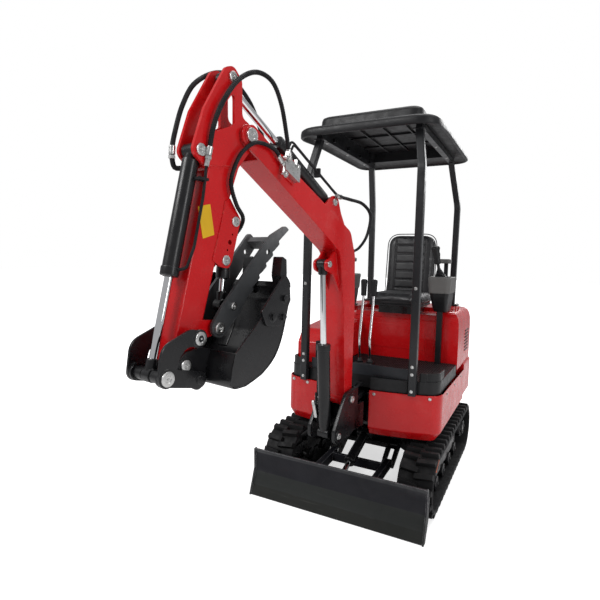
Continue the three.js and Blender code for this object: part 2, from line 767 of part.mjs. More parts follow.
// The bonnet over the engine, round the seat box, open underneath.
function hood() {
  const { x0, x1, y1 } = SEAT_BOX;
  const plan = (inset, step) => {
    const rear = tailPlan(HOOD_FRONT + step, HOOD_INSET + inset);
    return outline([
      ...rear,
      [x0 - GAP - step, HOOD_FRONT + step],
      [x0 - GAP - step, y1 + GAP + step],
      [x1 + GAP + step, y1 + GAP + step],
      [x1 + GAP + step, HOOD_FRONT + step],
    ]);
  };
  const lift = COUNTERWEIGHT_TOP + GAP;
  const shell = deck(plan(0, 0), lift, HOOD_TOP);
  return cut(shell, deck(plan(HOOD_WALL, HOOD_WALL), lift - 20, HOOD_TOP - HOOD_WALL));
}

// The floor tray and the kick panel across its front.
function floorPlate() {
  const front = frontPlan(0, FLOOR_REAR, 14, 60);
  const plan = [...front, ...flip(front)];
  const clear = POST / 2 + 6;
  const posts = both((sign) =>
    block(
      ...sided(sign, POST_X - clear, POST_X + clear),
      -600,
      POST_Y + clear,
      SKIRT_TOP - 20,
      FLOOR_TOP + 20,
    ),
  );
  const kickX = POST_X - POST / 2 - 6;
  return cut(
    join(
      deck(outline(plan), SKIRT_TOP + GAP, FLOOR_TOP),
      block(-kickX, kickX, KICK_Y - 10, KICK_Y, FLOOR_TOP - 2, FLOOR_TOP + KICK_HEIGHT),
    ),
    posts,
    block(-NOTCH_HALF, NOTCH_HALF, -620, KICK_Y - 10, SKIRT_TOP - 20, FLOOR_TOP + 20),
  );
}

// The red box under the seat.
function seatBox() {
  const { x0, x1, y1, top } = SEAT_BOX;
  const y0 = FLOOR_REAR + GAP;
  const body = block(x0, x1, y0, y1, 420 + GAP, top);
  const inside = block(x0 + HOOD_WALL, x1 - HOOD_WALL, y0 + HOOD_WALL, y1 - HOOD_WALL, 400, top - HOOD_WALL);
  return cut(body, inside);
}

// The cover over the tank and valves at the right of the floor.
function sideCover() {
  const x0 = -HOUSE_HALF + 20;
  const { x1, y0, top } = COVER;
  const y1 = FLOOR_REAR;
  const shell = (inset, lower) =>
    slab(
      outline([
        [y0 + inset, lower],
        [y0 + inset, 800 - inset, 20],
        [y0 + 60 + inset / 2, top - inset, 30],
        [y1 - inset, top + 40 - inset, 20],
        [y1 - inset, lower],
      ]),
      x0 + inset,
      x1 - inset,
    );
  return cut(shell(0, FLOOR_TOP + GAP), shell(HOOD_WALL, FLOOR_TOP - 40));
}

// The seat's slide and its back bracket.
function seatSlide() {
  const half = SEAT_WIDTH / 2 - 60;
  const lean = BACK_LEAN * 0.5;
  const back = SEAT_REAR + BACK_THICK + GAP;
  return join(
    block(SEAT_X - half, SEAT_X + half, SEAT_FRONT + 90, SEAT_REAR + 6, SEAT_BOX.top + GAP, CUSHION_BOTTOM - GAP),
    block(SEAT_X - half, SEAT_X + half, SEAT_REAR - 20, back + 26, CUSHION_BOTTOM - 30, CUSHION_BOTTOM - GAP),
    slab(
      outline([
        [back, CUSHION_BOTTOM - 20],
        [back + 12, CUSHION_BOTTOM - 20],
        [back + 12 + lean, 1250],
        [back + lean, 1250],
      ]),
      SEAT_X - half,
      SEAT_X + half,
    ),
  );
}

function seatCushion() {
  const half = SEAT_WIDTH / 2;
  return slab(
    outline([
      [SEAT_FRONT, CUSHION_BOTTOM, 20],
      [SEAT_FRONT, CUSHION_TOP - 20, 40],
      [SEAT_REAR, CUSHION_TOP, 20],
      [SEAT_REAR, CUSHION_BOTTOM],
    ]),
    SEAT_X - half,
    SEAT_X + half,
  );
}

function seatBack() {
  const half = SEAT_WIDTH / 2 - 8;
  const foot = CUSHION_BOTTOM + 12;
  const slope = (z) => (BACK_LEAN * 0.5 * (z - (CUSHION_BOTTOM - 20))) / (1250 - (CUSHION_BOTTOM - 20));
  const rear = SEAT_REAR + BACK_THICK;
  return slab(
    outline([
      [SEAT_REAR + 6 + slope(foot), foot, 20],
      [SEAT_REAR + 6 + slope(BACK_TOP), BACK_TOP, 30],
      [rear + slope(BACK_TOP), BACK_TOP, 30],
      [rear + slope(foot), foot],
    ]),
    SEAT_X - half,
    SEAT_X + half,
  );
}

// A console with its joystick and what carries it: a stalk from the floor on the left, where sign
// is 1, and a bracket from the hood on the right.
function consoleBox(sign) {
  const inner = sign > 0 ? POD_INNER : POD_INNER - 30;
  const [x0, x1] = sided(sign, inner, inner + POD_WIDTH);
  const middle = (x0 + x1) / 2;
  const stickY = POD_FRONT + 60;
  const stalk =
    sign > 0
      ? block(x0 + 50, x0 + 84, 10, 44, FLOOR_TOP + GAP, POD_BOTTOM + 60)
      : block(x0 + 30, x1 - 20, 110, 160, HOOD_TOP + GAP, POD_BOTTOM + 10);
  return join(
    stalk,
    slab(
      outline([
        [POD_FRONT + 70, POD_BOTTOM, 20],
        [POD_FRONT, POD_BOTTOM + 90, 30],
        [POD_FRONT + 10, POD_TOP - 20, 30],
        [POD_REAR - 30, POD_TOP, 30],
        [POD_REAR, POD_TOP - 60, 30],
        [POD_REAR, POD_BOTTOM],
      ]),
      x0,
      x1,
    ),
    bar([middle, stickY, POD_TOP - 30], [middle, stickY, POD_TOP + 60], 42, 16, 18),
    bar([middle, stickY, POD_TOP + 50], [middle, stickY - 8, STICK_TOP - 70], 14, 12),
    bar([middle, stickY - 8, STICK_TOP - 90], [middle, stickY - 4, STICK_TOP], 20, 16, 25),
  );
}

// Two bent travel levers on a common pivot box on the floor.
function travelLevers() {
  const parts = [block(-75, 35, -360, -300, FLOOR_TOP + GAP, FLOOR_TOP + 34)];
  for (const x of [-52, 12]) {
    parts.push(bar([x, -330, FLOOR_TOP + 20], [x, -348, 845], 8, 10));
    parts.push(bar([x, -348, 843], [x, -306, 1050], 8, 10));
    parts.push(bar([x, -306, 1048], [x, -300, 1110], 8, 10));
    parts.push(bar([x, -300, 1100], [x, -298, 1200], 17, 12, 20));
  }
  return join(...parts);
}

// ---------------------------------------------------------------- canopy

const POST_TOP = ROOF_TOP - ROOF_SKIN - GAP - RAIL + 2; // just inside the roof rail

function frontPost(sign) {
  const bend = [sign * POST_X, POST_Y, POST_BEND_Z];
  return join(
    post([sign * POST_X, POST_Y, SKIRT_TOP + GAP], bend, POST),
    post(bend, [sign * POST_TOP_X, POST_TOP_Y, POST_TOP], POST),
  );
}

function rearPost(sign) {
  return join(
    block(
      sign * REAR_X - 45,
      sign * REAR_X + 45,
      REAR_Y - 40,
      REAR_Y + 40,
      HOOD_TOP + GAP,
      HOOD_TOP + 12,
    ),
    post([sign * REAR_X, REAR_Y, HOOD_TOP + 10], [sign * REAR_BEND_X, REAR_Y, REAR_BEND_Z], REAR_POST),
    post(
      [sign * REAR_BEND_X, REAR_Y, REAR_BEND_Z],
      [sign * REAR_TOP_X, REAR_TOP_Y, POST_TOP],
      REAR_POST,
    ),
  );
}

// The rail under one side of the roof, on its two posts.
function roofRail(sign) {
  const x = sign * POST_TOP_X;
  const top = ROOF_TOP - ROOF_SKIN - GAP;
  const half = RAIL / 2;
  return block(x - half, x + half, POST_TOP_Y - 20, REAR_TOP_Y + 20, top - RAIL, top);
}

// The roof: a shallow dish with a deep rim and a raised middle.
function roof() {
  const plan = (side, front, rear, radius) =>
    outline([
      [-ROOF_HALF + side, ROOF_FRONT + front, radius],
      [ROOF_HALF - side, ROOF_FRONT + front, radius],
      [ROOF_HALF - side, ROOF_REAR - rear, radius],
      [-ROOF_HALF + side, ROOF_REAR - rear, radius],
    ]);
  const dish = (inset, radius) => plan(inset, inset, inset, radius);
  const bump = (inset, radius) =>
    plan(BUMP_SIDE + inset, BUMP_FRONT + inset, BUMP_REAR + inset, radius);
  const under = ROOF_TOP - ROOF_SKIN;
  return cut(
    join(
      deck(dish(0, 120), ROOF_BOTTOM, ROOF_TOP),
      deck(bump(0, 60), ROOF_TOP - 1, ROOF_TOP + BUMP_HEIGHT),
    ),
    deck(dish(20, 100), ROOF_BOTTOM - 10, under),
    deck(bump(ROOF_SKIN + 1, 50), under - 10, ROOF_TOP + BUMP_HEIGHT - ROOF_SKIN),
  );
}

// ---------------------------------------------------------------- swing bracket and boom

const side = ([forward, z, radius]) => (radius ? [-forward, z, radius] : [-forward, z]);
const sideShape = (corners) => outline(corners.map(side));
const plates = (shape, inner, outer) =>
  both((sign) => slab(shape, ...sided(sign, inner, outer)));
const straps = (a, b, inner, outer) =>
  both((sign) => strap(side(a), side(b), ...sided(sign, inner, outer)));
const cylinder = (name) => ({
  ...CYLINDERS[name],
  base: side(CYLINDERS[name].base),
  eye: side(CYLINDERS[name].eye),
});

// The lever's eye in the boom's frame, as [x, y].
const leverAngle = THREE.MathUtils.degToRad(-90 - LEVER_ANGLE);
const LEVER_EYE = [LEVER * Math.cos(leverAngle), LEVER * Math.sin(leverAngle)];

// The bracket between the swing lugs: hub, pin, two ears for the boom and its cylinder, and
// the lever of the swing cylinder.
function swingBracket() {
  const inner = BOOM_HALF + SLOT;
  const outer = inner + BRACKET_EAR;
  const low = LUG_BOTTOM + LUG_PLATE + GAP;
  const high = LUG_TOP - LUG_PLATE - GAP;
  const ear = sideShape([
    [-34, low],
    [60, low, 20],
    [150, 396, 30],
    [250, 404, 34],
    [252, 470, 34],
    [150, 640, 50],
    [32, 656, 10],
    [32, high],
    [-34, high],
  ]);
  const [leverX, leverY] = LEVER_EYE;
  const lever = (z0) => deck(eyeShape([leverX, leverY, 24], [-20, -6, 40]), z0, z0 + 16);
  const clear = SWING_EYE + SLOT;
  const body = cut(
    join(
      bar([0, 0, low], [0, 0, high], HUB_RADIUS),
      block(-outer, outer, -64, 0, low, high),
      plates(ear, inner, outer),
      block(-inner - 1, inner + 1, -46, -32, CLAMP_BAR - 20, CLAMP_BAR),
    ),
    block(-outer - 20, -HUB_RADIUS - 2, -26, 80, SWING_LEVEL - clear, SWING_LEVEL + clear),
  );
  return join(
    body,
    lever(SWING_LEVEL - clear - 16),
    lever(SWING_LEVEL + clear),
    bar([0, 0, LUG_BOTTOM - 10], [0, 0, LUG_TOP + 10], SWING_PIN_RADIUS),
    pin(side(BOOM_FOOT), PIN_RADIUS + 4, -outer - 8, outer + 8),
    pin(side(BOOM_BASE_PIN), PIN_RADIUS, -outer - 8, outer + 8),
  );
}

// The swing cylinder's rod eye at rest, in the house's frame.
function leverEye() {
  const turn = THREE.MathUtils.degToRad(-SWING_ANGLE);
  const [x, y] = LEVER_EYE;
  return [
    x * Math.cos(turn) - y * Math.sin(turn),
    SWING_Y + x * Math.sin(turn) + y * Math.cos(turn),
  ];
}

// A point of the swing cylinder's axis, s from its base towards its rod's eye.
function swingPoint(s) {
  const eye = new THREE.Vector2(...leverEye());
  const at = new THREE.Vector2(...SWING_BASE);
  at.addScaledVector(eye.sub(at).normalize(), s);
  return [at.x, at.y, SWING_LEVEL];
}

function swingBarrel() {
  const [x, y] = SWING_BASE;
  const foot = PIN_RADIUS + 12;
  return cut(
    join(
      bar([x, y, SWING_LEVEL - SWING_BORE], [x, y, SWING_LEVEL + SWING_BORE], foot),
      bar(swingPoint(foot * 0.6), swingPoint(SWING_BARREL), SWING_BORE),
      bar(swingPoint(SWING_BARREL - 24), swingPoint(SWING_BARREL + 4), SWING_BORE + 2),
    ),
    bar([x, y, 400], [x, y, 600], bored(PIN_RADIUS)),
    bar(swingPoint(foot + 10), swingPoint(SWING_BARREL + 30), SWING_SHAFT + 1, 12),
  );
}

function swingRod() {
  const [x, y] = leverEye();
  const reach = Math.hypot(x - SWING_BASE[0], y - SWING_BASE[1]);
  return join(
    bar([x, y, SWING_LEVEL - SWING_EYE], [x, y, SWING_LEVEL + SWING_EYE], PIN_RADIUS + 8),
    bar(swingPoint(reach - 34), swingPoint(reach), SWING_SHAFT + 4, 12),
    bar(swingPoint(reach - SWING_ROD), swingPoint(reach), SWING_SHAFT, 12),
  );
}

// The boom: a cranked box with its foot boss, its fork and the ears of both cylinders.
function boom() {
  const [footF, footZ] = BOOM_FOOT;
  const [tipF, tipZ] = BOOM_TIP;
  const box = sideShape([
    [footF - 34, footZ + 4],
    [58, 1060, 300],
    [72, 1330, 60],
    [120, 1446, 60],
    [210, 1490, 80],
    [tipF - 90, tipZ - 4],
    [tipF - 50, tipZ - 74],
    [338, 1414, 80],
    [216, 1345, 50],
    [163, 1068, 300],
    [footF + 34, footZ + 4],
  ]);
  const fork = sideShape([
    [tipF - 200, tipZ - 52],
    [tipF - 12, tipZ + 44, 30],
    [tipF + 44, tipZ + 20, 40],
    [tipF + 44, tipZ - 24, 40],
    [tipF + 10, tipZ - 44, 30],
    [tipF - 200, tipZ - 150],
  ]);
  const armEar = sideShape([
    [150, 1450],
    [205, 1530, 40],
    [232, 1592, 30],
    [267, 1608, 30],
    [300, 1588, 30],
    [350, 1548],
    [350, 1500],
  ]);
  const boomEar = sideShape([
    [200, 1380],
    [262, 1316, 20],
    [306, 1300, 26],
    [300, 1256, 26],
    [236, 1236, 30],
    [150, 1110],
  ]);
  const footHalf = BOOM_HALF;
  return cut(
    join(
      slab(box, -BOOM_HALF, BOOM_HALF),
      pin(side(BOOM_FOOT), 38, -footHalf, footHalf),
      plates(fork, BOOM_HALF - BOOM_WALL, BOOM_HALF),
      plates(armEar, BOOM_HALF - EAR - 8, BOOM_HALF - 8),
      plates(boomEar, BOOM_ROD_HALF + SLOT, BOOM_ROD_HALF + SLOT + EAR),
      pin(side(ARM_BASE_PIN), PIN_RADIUS, -BOOM_HALF, BOOM_HALF),
    ),
    pin(side(BOOM_FOOT), bored(PIN_RADIUS + 4), -80, 80),
    pin(side(BOOM_TIP), bored(PIN_RADIUS + 4), -80, 80),
  );
}

// A tube through points [F, z, t], where t is the distance to the left of the boom's plane.
const hose = (points, radius, steps, sides) =>
  tube(points.map(([forward, z, t]) => [t, -forward, z]), radius, steps, sides);

const VALVE = { f0: 590, f1: 690, bottom: 1606, top: 1694, t0: BOOM_HALF, t1: BOOM_HALF + 34 };

// The valve block on the boom's left side.
function valveBlock() {
  const { f0, f1, bottom, top, t0, t1 } = VALVE;
  return slab(
    sideShape([
      [f0, bottom, 8],
      [f0, top - 26, 8],
      [f1 - 8, top + 18, 8],
      [f1, bottom + 48, 8],
    ]),
    t0 + GAP,
    t1,
  );
}

// ---------------------------------------------------------------- arm

// The arm: a tapered box with two horn plates, the links' boss and the thumb's brackets.
function arm() {
  const [tipF, tipZ] = BOOM_TIP;
  const horn = sideShape([
    [885, 1928, 26],
    [928, 1966, 30],
    [966, 1950, 30],
    [1060, 1790, 60],
    [1112, 1640, 34],
    [1062, 1604, 30],
    [1030, 1600],
    [900, 1620],
    [814, 1722, 40],
    [840, 1788, 40],
    [882, 1800, 30],
  ]);
  const box = sideShape([
    [868, 1690],
    [900, 1760, 30],
    [1000, 1720],
    [1040, 1600],
    [1110, 1294],
    [1167, 1063],
    [1188, 948, 32],
    [1150, 912, 36],
    [1112, 948, 30],
    [1062, 1075],
    [950, 1479],
  ]);
  const window_ = sideShape([
    [922, 1883, 12],
    [975, 1817, 40],
    [1030, 1714, 14],
    [920, 1768, 14],
  ]);
  const thumbBase = sideShape([
    [940, 1510],
    [884, 1440, 20],
    [896, 1402, 24],
    [926, 1290, 24],
    [944, 1262, 20],
    [980, 1268, 20],
    [1020, 1290],
    [960, 1500],
  ]);
  const inner = ARM_HALF - HORN_PLATE;
  return cut(
    join(
      cut(plates(horn, inner, ARM_HALF), slab(window_, -80, 80)),
      slab(box, -ARM_HALF, ARM_HALF),
      pin(side(BOOM_TIP), 42, -BOOM_HALF + BOOM_WALL + 1, BOOM_HALF - BOOM_WALL - 1),
      pin(side(BOOM_TIP), PIN_RADIUS + 4, -BOOM_HALF - 4, BOOM_HALF + 4),
      plates(thumbBase, inner, ARM_HALF),
      straps([...THUMB_PIN, 26], [1080, 1056, 34], 20, ARM_HALF),
      pin(side(BUCKET_BASE_PIN), PIN_RADIUS, -ARM_HALF - 8, ARM_HALF + 8),
      pin(side(THUMB_BASE_PIN), PIN_RADIUS, -ARM_HALF - 6, ARM_HALF + 6),
      both((sign) => pin(side(ARM_ROD_PIN), 18, ...sided(sign, inner, ARM_HALF + 8))),
      both((sign) => pin(side(THUMB_SPARE_PIN), 18, ...sided(sign, inner, ARM_HALF + 5))),
      both((sign) => pin(side(LINK_PIN), 26, ...sided(sign, ARM_HALF - 1, LINK_FACE - GAP))),
    ),
    pin(side(LINK_PIN), bored(PIN_RADIUS), -120, 120),
    pin(side(BUCKET_PIN), bored(PIN_RADIUS), -120, 120),
    pin(side(THUMB_PIN), bored(PIN_RADIUS), -120, 120),
  );
}

// lateral places of the plates at the arm's end, from the middle outwards
const HITCH_FACE = ARM_HALF + SLOT;
const BUCKET_LINK_FACE = HITCH_FACE + HITCH_PLATE + 3;
const LINK_FACE = BUCKET_LINK_FACE + LINK_PLATE + 3;

// The two curved tipping links on their pin through the arm.
function tippingLinks() {
  const [linkF, linkZ] = LINK_PIN;
  const [rodF, rodZ] = ROD_PIN;
  const curve = sideShape([
    [linkF - 26, linkZ - 20, 24],
    [linkF - 20, linkZ + 26, 28],
    [linkF + 40, linkZ + 34, 40],
    [rodF + 20, linkZ - 10, 60],
    [rodF + 34, rodZ - 10, 34],
    [rodF - 6, rodZ - 34, 30],
    [rodF - 34, rodZ + 6, 30],
    [rodF - 50, rodZ + 60, 40],
    [linkF + 50, linkZ - 20, 40],
    [linkF + 10, linkZ - 28, 24],
  ]);
  const outer = LINK_FACE + LINK_PLATE;
  return join(
    plates(curve, LINK_FACE, outer),
    pin(side(LINK_PIN), PIN_RADIUS, -outer - 8, outer + 8),
    both((sign) => pin(side(ROD_PIN), 22, ...sided(sign, outer - 1, outer + 10))),
  );
}

// The bucket link: two plates on the hitch's rear pin.
function bucketLink() {
  const outer = BUCKET_LINK_FACE + LINK_PLATE;
  return join(
    straps([...ROD_PIN, 30], [...HITCH_PIN, 28], BUCKET_LINK_FACE, outer),
    pin(side(HITCH_PIN), PIN_RADIUS, -outer - 4, outer + 4),
  );
}

// ---------------------------------------------------------------- hitch and bucket

const HITCH_BLOCK = [
  [1085, 975],
  [1090, 930, 12],
  [1128, 880],
  [1108, 862, 12],
  [1066, 868],
  [1056, 940],
  [1040, 988],
];

// The quick hitch: two ears on the arm's end and the block that grips the bucket.
function hitch() {
  const ear = sideShape([
    [1188, 948, 40],
    [1150, 990, 40],
    [1086, 1000, 20],
    [1040, 988],
    [1056, 940],
    [1066, 868],
    [1096, 852, 30],
    [1140, 880, 40],
  ]);
  const outer = HITCH_FACE + HITCH_PLATE;
  return cut(
    join(
      plates(ear, HITCH_FACE, outer),
      slab(sideShape(HITCH_BLOCK), -HITCH_FACE - 1, HITCH_FACE + 1),
      pin(side(BUCKET_PIN), PIN_RADIUS, -outer - 2, outer + 2),
    ),
    pin(side(HITCH_PIN), bored(PIN_RADIUS), -120, 120),
  );
}

// The bucket: a bent shell between two side plates, with its lip, side cutters and teeth.
function bucket() {
  const wallCorners = [
    [HITCH_BLOCK[6][0] - GAP, HITCH_BLOCK[6][1]],
    [HITCH_BLOCK[5][0] - GAP, HITCH_BLOCK[5][1]],
    [HITCH_BLOCK[4][0] - GAP, HITCH_BLOCK[4][1], 30],
    [990, 868, 60],
    [906, 895, 70],
    [836, 946, 80],
    [796, 1020, 80],
    [762, 1140, 60],
    [768, 1206],
  ];
  const insideCorners = [
    [768 + 12, 1204],
    [762 + 9, 1142, 50],
    [796 + 8, 1024, 72],
    [836 + 6, 952, 72],
    [906 + 5, 903, 62],
    [990, 877, 50],
    [HITCH_BLOCK[4][0] - 11, HITCH_BLOCK[4][1] + 12, 20],
    [HITCH_BLOCK[5][0] - 9, HITCH_BLOCK[5][1] - 2],
    [HITCH_BLOCK[6][0] - 10, HITCH_BLOCK[6][1] - 3],
  ];
  const sidePlate = sideShape([
    ...wallCorners,
    [790, 1226, 14],
    [906, 1102, 30],
  ]);
  const shell = sideShape([...wallCorners, ...insideCorners]);
  const tooth = sideShape([
    [760, 1186],
    [764, 1206, 4],
    [770, 1300, 6],
    [796, 1312, 6],
    [806, 1240, 20],
    [788, 1184],
  ]);
  const cutter = sideShape([
    [766, 1150],
    [774, 1222, 10],
    [800, 1248, 12],
    [928, 1118, 14],
    [900, 1066, 20],
    [820, 1058, 20],
  ]);
  const inner = BUCKET_HALF - BUCKET_WALL;
  const parts = [
    slab(shell, -BUCKET_HALF, BUCKET_HALF),
    plates(sidePlate, inner, BUCKET_HALF),
    plates(cutter, BUCKET_HALF - 1, BUCKET_HALF + 10),
  ];
  for (const t of [-148, 0, 148]) parts.push(slab(tooth, t - 22, t + 22));
  return join(...parts);
}

// ---------------------------------------------------------------- thumb

// The thumb: two saw-edged plates with a cross tube, on a pin behind the arm's end.
function thumb() {
  const [pinF, pinZ] = THUMB_PIN;
  const way = new THREE.Vector2(
    THUMB_ROD_PIN[0] - pinF,
    THUMB_ROD_PIN[1] - pinZ,
  ).normalize();
  const at = (along, off, radius) => [
    pinF + way.x * along - way.y * off,
    pinZ + way.y * along + way.x * off,
    radius,
  ];
  const saw = [];
  for (let i = 0; i < 5; i++) {
    const s = 170 + 58 * i;
    saw.push(at(s, 34 - 2 * i, 4), at(s + 40, 40 - 2 * i, 6), at(s + 46, 28 - 2 * i, 4));
  }
  const plate = sideShape([
    at(-34, 0, 30),
    at(-20, 32, 30),
    at(100, 44, 40),
    ...saw,
    at(THUMB_LENGTH, 34, 6),
    at(THUMB_LENGTH - 8, 6, 20),
    at(430, -30, 60),
    at(250, -36, 80),
    at(60, -40, 40),
    at(-20, -32, 30),
  ]);
  const shortPlate = sideShape([
    at(-34, 0, 30),
    at(-20, 32, 30),
    at(100, 44, 40),
    at(THUMB_SHORT, 30, 20),
    at(THUMB_SHORT, -34, 20),
    at(250, -36, 80),
    at(60, -40, 40),
    at(-20, -32, 30),
  ]);
  const inner = THUMB_INNER;
  const outer = inner + THUMB_PLATE;
  const brace = sideShape([at(405, 22), at(405, -22), at(430, -22), at(430, 22)]);
  return join(
    slab(plate, inner, outer),
    slab(shortPlate, -outer, -inner),
    slab(brace, -inner - 1, inner + 1),
    pin(side(THUMB_PIN), PIN_RADIUS, -outer - 8, outer + 8),
    both((sign) => pin(side(THUMB_ROD_PIN), 16, ...sided(sign, inner, outer + 8))),
  );
}

// ---------------------------------------------------------------- hoses

// Centre lines as [F, z, t] from end to end.
const ARM_HOSE_LEFT = [
  [1050, 1636, 51.7],
  [1036, 1733, 60],
  [999, 1820, 64],
  [929, 1913, 66],
  [841, 1967, 68],
  [756, 1962, 70],
  [702, 1896, 72],
  [668, 1791, 74],
  [647, VALVE.top + 9.2, 75],
];
const ARM_HOSE_RIGHT = [
  [1086, 1597, -CYLINDERS.bucket.bore - 1],
  [1087, 1597, -42],
  [1104, 1602, -58],
  [1109, 1657, -62],
  [1091, 1738, -62],
  [1064, 1816, -62],
  [1017, 1895, -64],
  [938, 1957, -66],
  [860, 1984, -68],
  [793, 1965, -70],
  [706, 1900, -70],
  [629, 1770, -70],
  [590, 1668, -68],
];
const THUMB_HOSE = [
  [VALVE.f1 + 3, 1676, 74],
  [739, 1716, 74],
  [837, 1721, 72],
  [904, 1673, 64],
  [941, 1606, 60],
  [950, 1552, 58],
  [922, 1488, 58],
  [880, 1452, 48],
  [856, 1424, 20],
  [866, 1394, 3],
  [880, 1391, 0],
  [891.5, 1391, 0],
];
const KNEE_HOSE = [
  [262, 1600, 66],
  [147, 1600, 62],
  [6, 1594, 56],
  [-90, 1545, 50],
  [-70, 1440, 44],
  [0, 1372, 38],
  [77.4, 1346.2, 34],
];
const BOOM_CYLINDER_HOSE = [
  [232, 640, -44],
  [226, 560, -46],
  [214, 500, -47],
  [180, 476, -46],
  [130, 470, -44],
  [64 + GAP, 470, -42],
];

// Two hoses side by side with a clamp round them at the point given.
function bundle(line, steps, [forward, z]) {
  const parts = [-12, 12].map((t) => hose(line.map(([f, h]) => [f, h, t]), 8, steps));
  return join(...parts, block(-24, 24, -forward - 7, -forward + 7, z - 12, z + 12));
}
const SWING_HOSES = [
  [-128, 628],
  [-110, 626],
  [-76, 616],
  [-30, 610],
  [2, 626],
  [26, CLAMP_BAR + 7.3],
];
const BOOM_HOSES = [
  [30, CLAMP_BAR + 20],
  [34, 710],
  [22, 760],
  [12, 810],
  [20, 866],
  [52.2, 907],
];

// ---------------------------------------------------------------- assembly

const house = new THREE.Group();
const front = new THREE.Group();
front.position.set(0, SWING_Y, 0);
front.rotation.z = THREE.MathUtils.degToRad(-SWING_ANGLE);
house.add(front);
machine.add(house);

add(machine, "carbody", carbody(), "black");
add(machine, "slew_ring", slewRing(), "steel");
for (const [name, sign] of [["left", 1], ["right", -1]]) {
  add(machine, "track_frame_" + name, trackFrame(sign), "black");
  add(machine, "track_" + name, track(sign), "rubber");
  add(machine, "sprocket_" + name, sprocket(sign), "black");
}
add(machine, "dozer_blade", blade(), "grey");
add(machine, "blade_cylinder_barrel", barrel(BLADE_CYLINDER), "black");
add(machine, "blade_cylinder_rod", rod(BLADE_CYLINDER, 17), "chrome");

add(house, "base_frame", baseFrame(), "black");
add(house, "skirt_left", skirt(1), "red");
add(house, "skirt_right", skirt(-1), "red");
add(house, "counterweight", counterweight(), "red");
add(house, "engine", block(-ENGINE.x, ENGINE.x, ENGINE.y0, ENGINE.y1, ENGINE.z0 + GAP, ENGINE.z1), "casting");
add(house, "engine_hood", hood(), "red");
add(house, "floor_plate", floorPlate(), "grey");
add(house, "side_cover", sideCover(), "red");
add(house, "seat_box", seatBox(), "red");
add(house, "seat_slide", seatSlide(), "black");
add(house, "seat_cushion", seatCushion(), "vinyl");
add(house, "seat_back", seatBack(), "vinyl");
add(house, "console_left", consoleBox(1), "pod");
add(house, "console_right", consoleBox(-1), "pod");
add(house, "travel_levers", travelLevers(), "chrome");
for (const [name, sign] of [["left", 1], ["right", -1]]) {
  const sideFrame = join(frontPost(sign), rearPost(sign), roofRail(sign));
  add(house, "canopy_frame_" + name, sideFrame, "black");
}
add(house, "roof", roof(), "plastic");

add(front, "swing_bracket", swingBracket(), "black");
add(front, "boom", boom(), "red");
add(front, "boom_cylinder_barrel", barrel(cylinder("boom")), "black");
add(front, "boom_cylinder_rod", rod(cylinder("boom"), 20), "chrome");
add(front, "arm_cylinder_barrel", barrel(cylinder("arm")), "black");
add(front, "arm_cylinder_rod", rod(cylinder("arm"), 20), "chrome");
add(front, "arm", arm(), "red");
add(front, "bucket_cylinder_barrel", barrel(cylinder("bucket")), "black");
add(front, "bucket_cylinder_rod", rod(cylinder("bucket"), 20), "chrome");
add(front, "tipping_links", tippingLinks(), "black");
add(front, "bucket_link", bucketLink(), "black");
add(front, "quick_hitch", hitch(), "black");
add(front, "bucket", bucket(), "black");
add(front, "thumb", thumb(), "grey");
add(front, "thumb_cylinder_barrel", barrel(cylinder("thumb")), "black");
add(front, "thumb_cylinder_rod", rod(cylinder("thumb"), 18), "chrome");

add(front, "valve_block", valveBlock(), "steel");
add(front, "hose_arm_left", hose(ARM_HOSE_LEFT, 9, 20), "hose");
add(front, "hose_arm_right", hose(ARM_HOSE_RIGHT, 9, 24), "hose");
add(front, "hose_thumb", hose(THUMB_HOSE, 8, 20), "hose");
add(front, "hose_knee", hose(KNEE_HOSE, 9, 12), "hose");
add(front, "hose_boom_cylinder", hose(BOOM_CYLINDER_HOSE, 9, 8), "hose");
add(front, "hose_swing_bundle", bundle(SWING_HOSES, 9, [-100, 622]), "hose");
add(front, "hose_boom_bundle", bundle(BOOM_HOSES, 10, [22, 760]), "hose");
add(house, "swing_cylinder_barrel", swingBarrel(), "black");
add(house, "swing_cylinder_rod", swingRod(), "chrome");

machine.updateMatrixWorld(true);
const box = new THREE.Box3().setFromObject(machine, true);
const middle = box.getCenter(new THREE.Vector3());
machine.position.set(-middle.x, -middle.y, -box.min.z);

export default machine;
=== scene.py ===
import json
import math

import bmesh
import bpy
from mathutils import Matrix, Vector


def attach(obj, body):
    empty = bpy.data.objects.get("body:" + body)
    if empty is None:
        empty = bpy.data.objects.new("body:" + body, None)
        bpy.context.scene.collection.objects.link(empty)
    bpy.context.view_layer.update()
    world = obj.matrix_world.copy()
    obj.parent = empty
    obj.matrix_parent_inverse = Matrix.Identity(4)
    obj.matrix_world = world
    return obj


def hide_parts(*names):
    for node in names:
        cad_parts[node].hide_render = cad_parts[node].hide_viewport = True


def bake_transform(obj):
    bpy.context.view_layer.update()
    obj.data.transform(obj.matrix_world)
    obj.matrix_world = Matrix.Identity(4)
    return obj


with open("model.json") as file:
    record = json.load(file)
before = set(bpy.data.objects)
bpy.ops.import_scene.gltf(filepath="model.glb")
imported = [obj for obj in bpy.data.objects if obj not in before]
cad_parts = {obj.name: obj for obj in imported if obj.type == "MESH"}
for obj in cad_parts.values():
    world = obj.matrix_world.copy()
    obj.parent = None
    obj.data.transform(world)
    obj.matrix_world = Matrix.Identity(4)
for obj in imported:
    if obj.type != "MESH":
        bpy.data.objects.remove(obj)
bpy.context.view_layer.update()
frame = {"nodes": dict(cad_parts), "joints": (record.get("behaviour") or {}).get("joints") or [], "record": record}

# ---------------------------------------------------------------- places
# The house's plan is in millimetres from the slew axis, with x to the machine's left, y to its rear
# and z from the ground. The boom's plane is [F, z, t]: F forward of the swing pin, t to the left.

